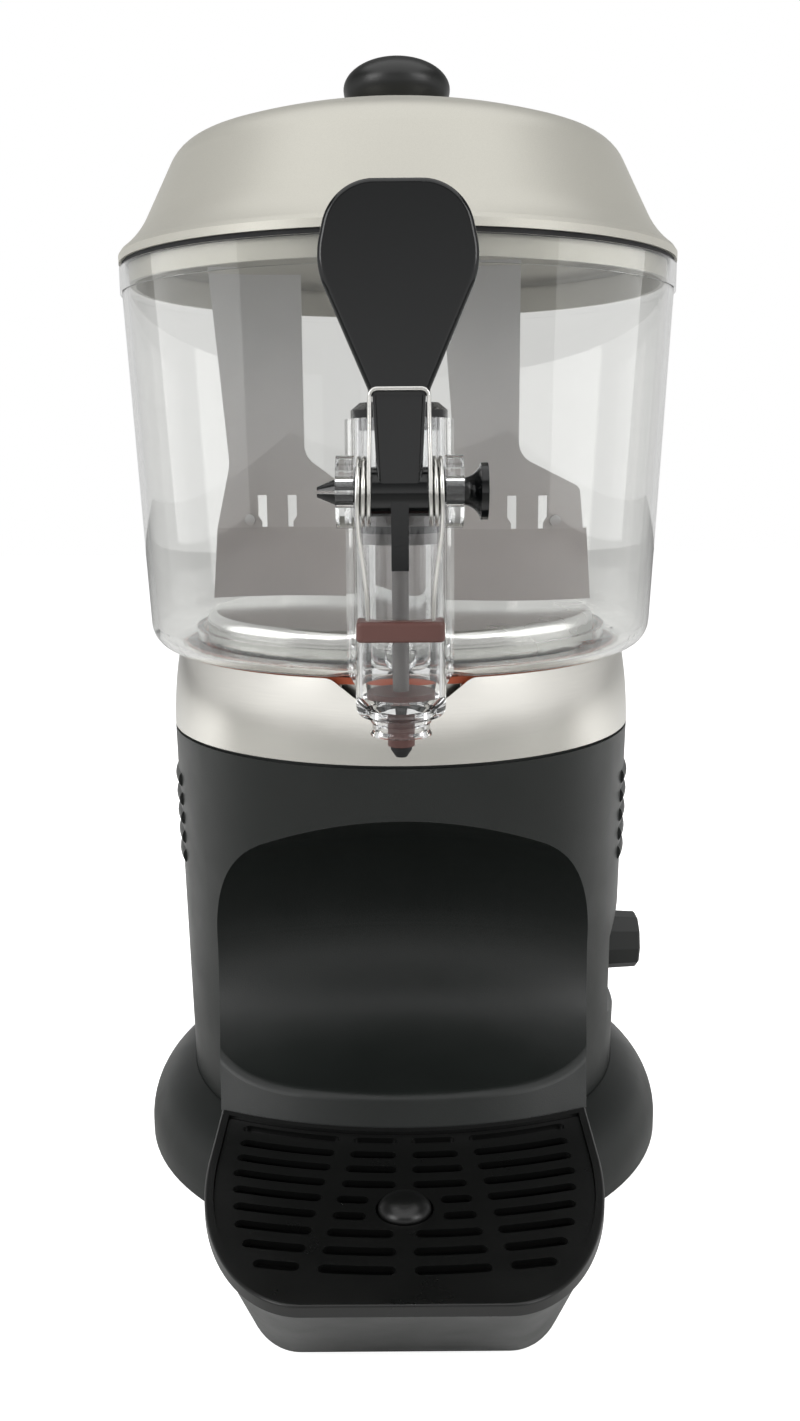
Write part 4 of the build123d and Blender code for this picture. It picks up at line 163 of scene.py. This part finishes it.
def metal(name, colour, roughness, stretch, scale, depth=0.02 * MM, tone=0.05):
    """Metal with fine lines along one direction and slight smears in its gloss."""
    material, tree, shader, coords = new_material(name)
    shader.inputs["Metallic"].default_value = 1.0
    lines = noise(tree, coords, scale, 2, stretch)
    tint = blend_colour(tree, remap(tree, lines, 0, 1), scaled(colour, 1 - tone), colour)
    tree.links.new(tint, shader.inputs["Base Color"])
    set_gloss(tree, shader, noise(tree, coords, SMEAR_SCALE, 3), roughness, 0.8, 1.25)
    add_bump(tree, shader, lines, depth, LINE_STRENGTH)
    return material


def clear(name, colour):
    """Clear moulded plastic with faint flow marks and a little haze."""
    material, tree, shader, coords = new_material(name)
    shader.inputs["Base Color"].default_value = (*colour, 1)
    shader.inputs["Transmission Weight"].default_value = 1.0
    shader.inputs["IOR"].default_value = CLEAR_IOR
    flow = noise(tree, coords, FLOW_SCALE, 3, FLOW_STRETCH)
    tree.links.new(remap(tree, flow, 0, CLEAR_HAZE), shader.inputs["Roughness"])
    ripples = noise(tree, coords, RIPPLE_SCALE, 2, RIPPLE_STRETCH)
    add_bump(tree, shader, ripples, RIPPLE_DEPTH, RIPPLE_STRENGTH)
    return material


def paint(name, colour, roughness, metallic):
    """Satin metallic paint with fine flakes."""
    material, tree, shader, coords = new_material(name)
    shader.inputs["Metallic"].default_value = metallic
    flakes = noise(tree, coords, FLAKE_SCALE, 1)
    tint = blend_colour(tree, remap(tree, flakes, 0, 1), scaled(colour, FLAKE_TONE), colour)
    tree.links.new(tint, shader.inputs["Base Color"])
    set_gloss(tree, shader, noise(tree, coords, CLOUD_SCALE, 3), roughness, 0.92, 1.1)
    add_bump(tree, shader, flakes, FLAKE_DEPTH, FLAKE_STRENGTH)
    return material


# Materials, and the one that each piece wears
BODY = plastic("body_plastic", (0.01, 0.0117, 0.0108), 0.36, 0.08, 1500, 0.09 * MM, ior=1.44)
TRAY = plastic("tray_plastic", (0.004, 0.0042, 0.004), 0.3, 0.1, 1200, 0.06 * MM)
BLACK = plastic("gloss_black", (0.0022, 0.0027, 0.0029), 0.16, 0.12, 900, 0.02 * MM)
KNOB = plastic("knob_black", (0.004, 0.0045, 0.004), 0.36, 0.15, 1100, 0.06 * MM)
DIAL = plastic("dial_grey", (0.01, 0.0115, 0.0105), 0.36, 0.1, 1000, 0.04 * MM)
MIXER = plastic("mixer_grey", (0.62, 0.615, 0.62), 0.42, 0.06, 300, 0.04 * MM, foot=(0.49, 0.46, 0.45))
SCRAPER = plastic("scraper_mauve", (0.44, 0.405, 0.395), 0.45, 0.08, 400, 0.05 * MM)
BROWN = plastic("brown_plastic", (0.1, 0.042, 0.035), 0.42, 0.15, 700, 0.06 * MM)
PISTON = plastic("piston_grey", (0.17, 0.16, 0.155), 0.45, 0.1, 900, 0.03 * MM)
SEAL = plastic("orange_seal", (0.52, 0.1, 0.035), 0.5, 0.1, 800, 0.04 * MM)
RUBBER = plastic("black_rubber", (0.012, 0.012, 0.013), 0.7, 0.15, 900, 0.1 * MM)
WHITE = plastic("white_plastic", (0.7, 0.7, 0.66), 0.45, 0.05, 700, 0.03 * MM)
MOTOR = paint("motor_paint", (0.05, 0.055, 0.06), 0.4, 0.2)
LID = paint("champagne_paint", (0.53, 0.517, 0.462), 0.4, 0.45)
BAND = metal("polished_band", (0.9, 0.88, 0.825), 0.22, (1, 1, 30), 60, depth=0.01 * MM, tone=0.03)
STEEL = metal("stainless", (0.72, 0.72, 0.71), 0.24, (1, 1, 12), 180)
SPRING = metal("spring_steel", (0.8, 0.79, 0.76), 0.2, (1, 1, 1), 900)
ZINC = metal("zinc_steel", (0.6, 0.62, 0.63), 0.35, (1, 1, 1), 300)
BOWL = clear("clear_bowl", (0.94, 0.942, 0.93))
TAP = clear("clear_tap", (0.95, 0.955, 0.96))

LOOKS = {
    "base_housing": BODY,
    "body_shell": BODY,
    "bottom_plate": ZINC,
    "rubber_feet": RUBBER,
    "bottom_screws": ZINC,
    "trim_band": BAND,
    "bowl_seal": SEAL,
    "heater_drum": STEEL,
    "water_tank": STEEL,
    "heating_element": STEEL,
    "safety_thermostat": PISTON,
    "shaft_tube": STEEL,
    "shaft_bushes": WHITE,
    "shaft_seal": RUBBER,
    "standoffs": ZINC,
    "motor_bracket": ZINC,
    "gearbox": MOTOR,
    "motor": MOTOR,
    "thermostat": PISTON,
    "terminal_block": WHITE,
    "cable_gland": BLACK,
    "drive_shaft": STEEL,
    "shaft_collar": STEEL,
    "mixer_hub": MIXER,
    "right_scraper": SCRAPER,
    "left_scraper": SCRAPER,
    "right_blade": MIXER,
    "left_blade": MIXER,
    "blade_pins": MIXER,
    "bowl": BOWL,
    "tap_barrel": TAP,
    "tap_cap": BLACK,
    "pivot_pin": BLACK,
    "spring_bar": BROWN,
    "tap_spring": SPRING,
    "lid": LID,
    # The lid seal's black also stands in for the shadow in the gap between the lid and the bowl rim, so it
    # is partly painted shade
    "lid_seal": RUBBER,
    "lid_knob": KNOB,
    "lid_washer": STEEL,
    "lid_screw": STEEL,
    "tap_handle": BLACK,
    "tap_piston": PISTON,
    "piston_ring": RUBBER,
    "valve_plug": BROWN,
    "valve_tip": RUBBER,
    "thermostat_knob": DIAL,
    "dial_spindle": ZINC,
    "drip_tray": TRAY,
    "drip_grille": TRAY,
    "level_float": TRAY,
}
for name, node in NODES.items():
    node.data.materials.clear()
    node.data.materials.append(LOOKS[name])

# Lever spring: one wire from the bar, round both coils and over the lever's neck
WIRE_RADIUS = 0.85 * MM
WIRE_SIDES = 14
COIL_RADIUS = 12.9 * MM
COIL_OUTER = 16.3 * MM
COIL_INNER = 11.7 * MM
COIL_TURNS = 2
COIL_START = 24
COIL_SWEEP = COIL_TURNS * 360 + COIL_START
COIL_STEP = 6
LEG_HALF = 13.2 * MM
LEG_FOOT_Z = 315.25 * MM
LEG_TOP_Z = 319.5 * MM
LEG_Y = AXIS_Y - 188.2 * MM
ARM_HALF = 11.2 * MM
ARM_BEND = 3.0 * MM
ARM_Y = PIVOT.y - 9.85 * MM
ARM_Z = PIVOT.z + 38.5 * MM
CURVE_REACH = 0.36
BEND_REACH = 0.4
LEG_STEPS = 16
ARM_STEPS = 14
BEND_STEPS = 8


def coil_point(degrees, side):
    """Point and heading on one coil of the spring, which climbs at the front and closes inwards."""
    angle = math.radians(degrees)
    share = (degrees + COIL_START) / COIL_SWEEP
    point = Vector(
        (
            side * (COIL_OUTER + share * (COIL_INNER - COIL_OUTER)),
            PIVOT.y - COIL_RADIUS * math.cos(angle),
            PIVOT.z + COIL_RADIUS * math.sin(angle),
        )
    )
    return point, Vector((0, math.sin(angle), math.cos(angle)))


def curve_between(start, start_heading, end, end_heading, reach, steps):
    """Points on a smooth curve from start to end, without the last one."""
    span = (end - start).length * reach
    first = start + start_heading * span
    second = end - end_heading * span
    points = []
    for step in range(steps):
        t = step / steps
        u = 1 - t
        points.append(start * u**3 + first * (3 * u * u * t) + second * (3 * u * t * t) + end * t**3)
    return points


def half_wire(side):
    """Middle line of one half of the spring, from its foot in the bar to the corner of the cross bend."""
    up = Vector((0, 0, 1))
    foot = Vector((side * LEG_HALF, LEG_Y, LEG_FOOT_Z))
    top = Vector((side * LEG_HALF, LEG_Y, LEG_TOP_Z))
    coil_start, coil_heading = coil_point(-COIL_START, side)
    points = [foot] + curve_between(top, up, coil_start, coil_heading, CURVE_REACH, LEG_STEPS)
    for degrees in range(-COIL_START, COIL_SWEEP - COIL_START + 1, COIL_STEP):
        points.append(coil_point(degrees, side)[0])
    coil_end, end_heading = coil_point(COIL_SWEEP - COIL_START, side)
    arm = Vector((side * ARM_HALF, ARM_Y, ARM_Z - ARM_BEND))
    points += curve_between(coil_end, end_heading, arm, up, CURVE_REACH, ARM_STEPS)[1:]
    corner = Vector((side * (ARM_HALF - ARM_BEND), ARM_Y, ARM_Z))
    points += curve_between(arm, up, corner, Vector((-side, 0, 0)), BEND_REACH, BEND_STEPS)
    return points + [corner]


def tube(name, points, radius, sides):
    """Closed round tube along a line of points."""
    build = bmesh.new()
    rings = []
    normal = None
    for index, point in enumerate(points):
        heading = (points[min(index + 1, len(points) - 1)] - points[max(index - 1, 0)]).normalized()
        if normal is None:
            normal = heading.orthogonal()
        normal = (normal - heading * normal.dot(heading)).normalized()
        across = heading.cross(normal)
        ring = []
        for corner in range(sides):
            turn = 2 * math.pi * corner / sides
            spoke = normal * math.cos(turn) + across * math.sin(turn)
            ring.append(build.verts.new(point + spoke * radius))
        rings.append(ring)
    for near, far in zip(rings, rings[1:]):
        for corner in range(sides):
            after = (corner + 1) % sides
            build.faces.new((near[corner], near[after], far[after], far[corner])).smooth = True
    build.faces.new(list(reversed(rings[0])))
    build.faces.new(rings[-1])
    bmesh.ops.recalc_face_normals(build, faces=build.faces)
    mesh = bpy.data.meshes.new(name)
    build.to_mesh(mesh)
    build.free()
    piece = bpy.data.objects.new(name, mesh)
    bpy.context.collection.objects.link(piece)
    return piece


spring = tube("lever_spring", half_wire(1) + list(reversed(half_wire(-1))), WIRE_RADIUS, WIRE_SIDES)
spring.data.materials.append(SPRING)
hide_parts("tap_spring")
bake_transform(spring)

# Floor: white to the camera, greyer through the bowl, and in reflections a painted pool of light near and
# behind the machine, with painted shade further off
FLOOR_HALF = 4.0
FLOOR_CELLS = 8
FLOOR_GLOW = 0.85
FLOOR_THROUGH = 0.45
FLOOR_PALE = (0.86, 0.86, 0.85)
# The next values set painted light on the floor in reflections: a painted-shade colour, and where the
# painted pools of light in front of and behind the machine begin and end
FLOOR_PAINTED_SHADE = (0.3, 0.3, 0.29)
PAINTED_POOL_OUTSIDE = 0.15
PAINTED_POOL_CENTRE = (0, -0.22, 0)
PAINTED_POOL_NEAR = 0.16
PAINTED_POOL_FAR = 0.46
PAINTED_BACK_POOL_NEAR = -0.12
PAINTED_BACK_POOL_FAR = 0.38


def floor_look():
    """White floor that also glows to the camera and through the bowl; in reflections its colour carries a
    painted pool of light near and behind the machine, and painted shade elsewhere.
    """
    material = bpy.data.materials.new("floor_white")
    material.use_nodes = True
    tree = material.node_tree
    tree.nodes.clear()
    output = tree.nodes.new("ShaderNodeOutputMaterial")
    diffuse = tree.nodes.new("ShaderNodeBsdfDiffuse")
    glow = tree.nodes.new("ShaderNodeEmission")
    total = tree.nodes.new("ShaderNodeAddShader")
    path = tree.nodes.new("ShaderNodeLightPath")
    through = path.outputs["Is Transmission Ray"]
    glossy = path.outputs["Is Glossy Ray"]
    geometry = tree.nodes.new("ShaderNodeNewGeometry")
    reach = tree.nodes.new("ShaderNodeVectorMath")
    reach.operation = "DISTANCE"
    reach.inputs[1].default_value = PAINTED_POOL_CENTRE
    tree.links.new(geometry.outputs["Position"], reach.inputs[0])
    split = tree.nodes.new("ShaderNodeSeparateXYZ")
    tree.links.new(geometry.outputs["Position"], split.inputs["Vector"])
    # Painted pool of light in reflections: the floor is pale near a point in front of the machine and
    # behind it, and painted shade further off
    front = remap(tree, reach.outputs["Value"], 1.0, PAINTED_POOL_OUTSIDE, PAINTED_POOL_NEAR, PAINTED_POOL_FAR)
    back = remap(tree, split.outputs["Y"], PAINTED_POOL_OUTSIDE, 1.0, PAINTED_BACK_POOL_NEAR, PAINTED_BACK_POOL_FAR)
    mirror = maths(tree, "SUBTRACT", glossy, through)
    mirrored = maths(tree, "MULTIPLY", mirror, maths(tree, "MAXIMUM", front, back))
    pale = maths(tree, "MAXIMUM", maths(tree, "SUBTRACT", 1.0, glossy), mirrored)
    tree.links.new(blend_colour(tree, pale, FLOOR_PAINTED_SHADE, FLOOR_PALE), diffuse.inputs["Color"])
    seen = maths(tree, "MULTIPLY", path.outputs["Is Camera Ray"], FLOOR_GLOW)
    behind = maths(tree, "MULTIPLY", through, FLOOR_THROUGH)
    tree.links.new(maths(tree, "MAXIMUM", seen, behind), glow.inputs["Strength"])
    tree.links.new(diffuse.outputs["BSDF"], total.inputs[0])
    tree.links.new(glow.outputs["Emission"], total.inputs[1])
    tree.links.new(total.outputs["Shader"], output.inputs["Surface"])
    return material


floor_mesh = bpy.data.meshes.new("floor")
floor_build = bmesh.new()
bmesh.ops.create_grid(floor_build, x_segments=FLOOR_CELLS, y_segments=FLOOR_CELLS, size=FLOOR_HALF)
floor_build.to_mesh(floor_mesh)
floor_build.free()
floor_mesh.materials.append(floor_look())
floor = bpy.data.objects.new("floor", floor_mesh)
bpy.context.collection.objects.link(floor)

# World: white to the camera, bright all round and dim overhead in reflections, weaker as a lamp
ROUND_LEVELS = ((0.0, 1.0), (0.25, 1.0), (0.5, 0.76), (0.81, 0.46), (0.94, 0.75), (1.0, 0.8))
TOP_LEVEL = 0.2
TOP_START = 0.05
TOP_STOP = 0.6
THROUGH_LEVEL = 0.72
AMBIENT = 0.8


def studio_world():
    """White studio whose level in reflections depends on the direction."""
    world = bpy.data.worlds.new("studio")
    world.use_nodes = True
    tree = world.node_tree
    tree.nodes.clear()
    output = tree.nodes.new("ShaderNodeOutputWorld")
    background = tree.nodes.new("ShaderNodeBackground")
    background.inputs["Color"].default_value = (1, 1, 1, 1)
    path = tree.nodes.new("ShaderNodeLightPath")
    through = path.outputs["Is Transmission Ray"]
    coords = tree.nodes.new("ShaderNodeTexCoord")
    split = tree.nodes.new("ShaderNodeSeparateXYZ")
    tree.links.new(coords.outputs["Generated"], split.inputs["Vector"])
    ramp = tree.nodes.new("ShaderNodeValToRGB")
    stops = ramp.color_ramp.elements
    while len(stops) < len(ROUND_LEVELS):
        stops.new(0.5)
    for stop, (place, level) in zip(stops, ROUND_LEVELS):
        stop.position = place
        stop.color = (level, level, level, 1)
    tree.links.new(remap(tree, split.outputs["Y"], 0.0, 1.0, -1.0, 1.0), ramp.inputs["Fac"])
    upwards = remap(tree, split.outputs["Z"], 1.0, TOP_LEVEL, TOP_START, TOP_STOP)
    level = maths(tree, "MULTIPLY", ramp.outputs["Color"], upwards)
    lamp = maths(tree, "MULTIPLY", path.outputs["Is Diffuse Ray"], 1 - AMBIENT)
    share = maths(tree, "MULTIPLY", level, maths(tree, "SUBTRACT", 1.0, lamp))
    rest = maths(tree, "MULTIPLY", share, maths(tree, "SUBTRACT", 1.0, through))
    behind = maths(tree, "MULTIPLY", through, THROUGH_LEVEL)
    seen = maths(tree, "MAXIMUM", path.outputs["Is Camera Ray"], behind)
    tree.links.new(maths(tree, "MAXIMUM", rest, seen), background.inputs["Strength"])
    tree.links.new(background.outputs["Background"], output.inputs["Surface"])
    return world


bpy.context.scene.world = studio_world()

# Lights, all aimed at the middle of the machine
MIDDLE = Vector((0, AXIS_Y, 0.3))


def soft_light(name, place, size, power, mirrored=True):
    """Large square area light, which need not show in reflections."""
    data = bpy.data.lights.new(name, "AREA")
    data.shape = "SQUARE"
    data.size = size
    data.energy = power
    light = bpy.data.objects.new(name, data)
    bpy.context.collection.objects.link(light)
    light.location = place
    light.visible_glossy = mirrored
    light.rotation_euler = (MIDDLE - Vector(place)).to_track_quat("-Z", "Y").to_euler()


soft_light("top", (0, -0.3, 2.2), size=2.8, power=28)
soft_light("left", (-2.0, 0.0, 1.0), size=2.0, power=22, mirrored=False)
soft_light("right", (2.0, 0.0, 1.0), size=2.0, power=22, mirrored=False)
soft_light("left_box", (-1.6, -1.2, 1.35), size=1.1, power=15)
soft_light("right_box", (1.6, -1.2, 1.35), size=1.1, power=12)

# Camera at the photograph's viewing angle
CAMERA_PLACE = (-0.5 * MM, AXIS_Y - 704 * MM, 390 * MM)
CAMERA_PITCH = 0.205
CAMERA_ROLL = -0.007
SENSOR_WIDTH = 36
LENS = 32.6
camera_data = bpy.data.cameras.new("camera")
camera_data.sensor_width = SENSOR_WIDTH
camera_data.lens = LENS
camera = bpy.data.objects.new("camera", camera_data)
bpy.context.collection.objects.link(camera)
camera.matrix_world = (
    Matrix.Translation(CAMERA_PLACE)
    @ Matrix.Rotation(math.pi / 2 - CAMERA_PITCH, 4, "X")
    @ Matrix.Rotation(CAMERA_ROLL, 4, "Z")
)
bpy.context.scene.camera = camera
bpy.context.scene.view_settings.view_transform = "Standard"
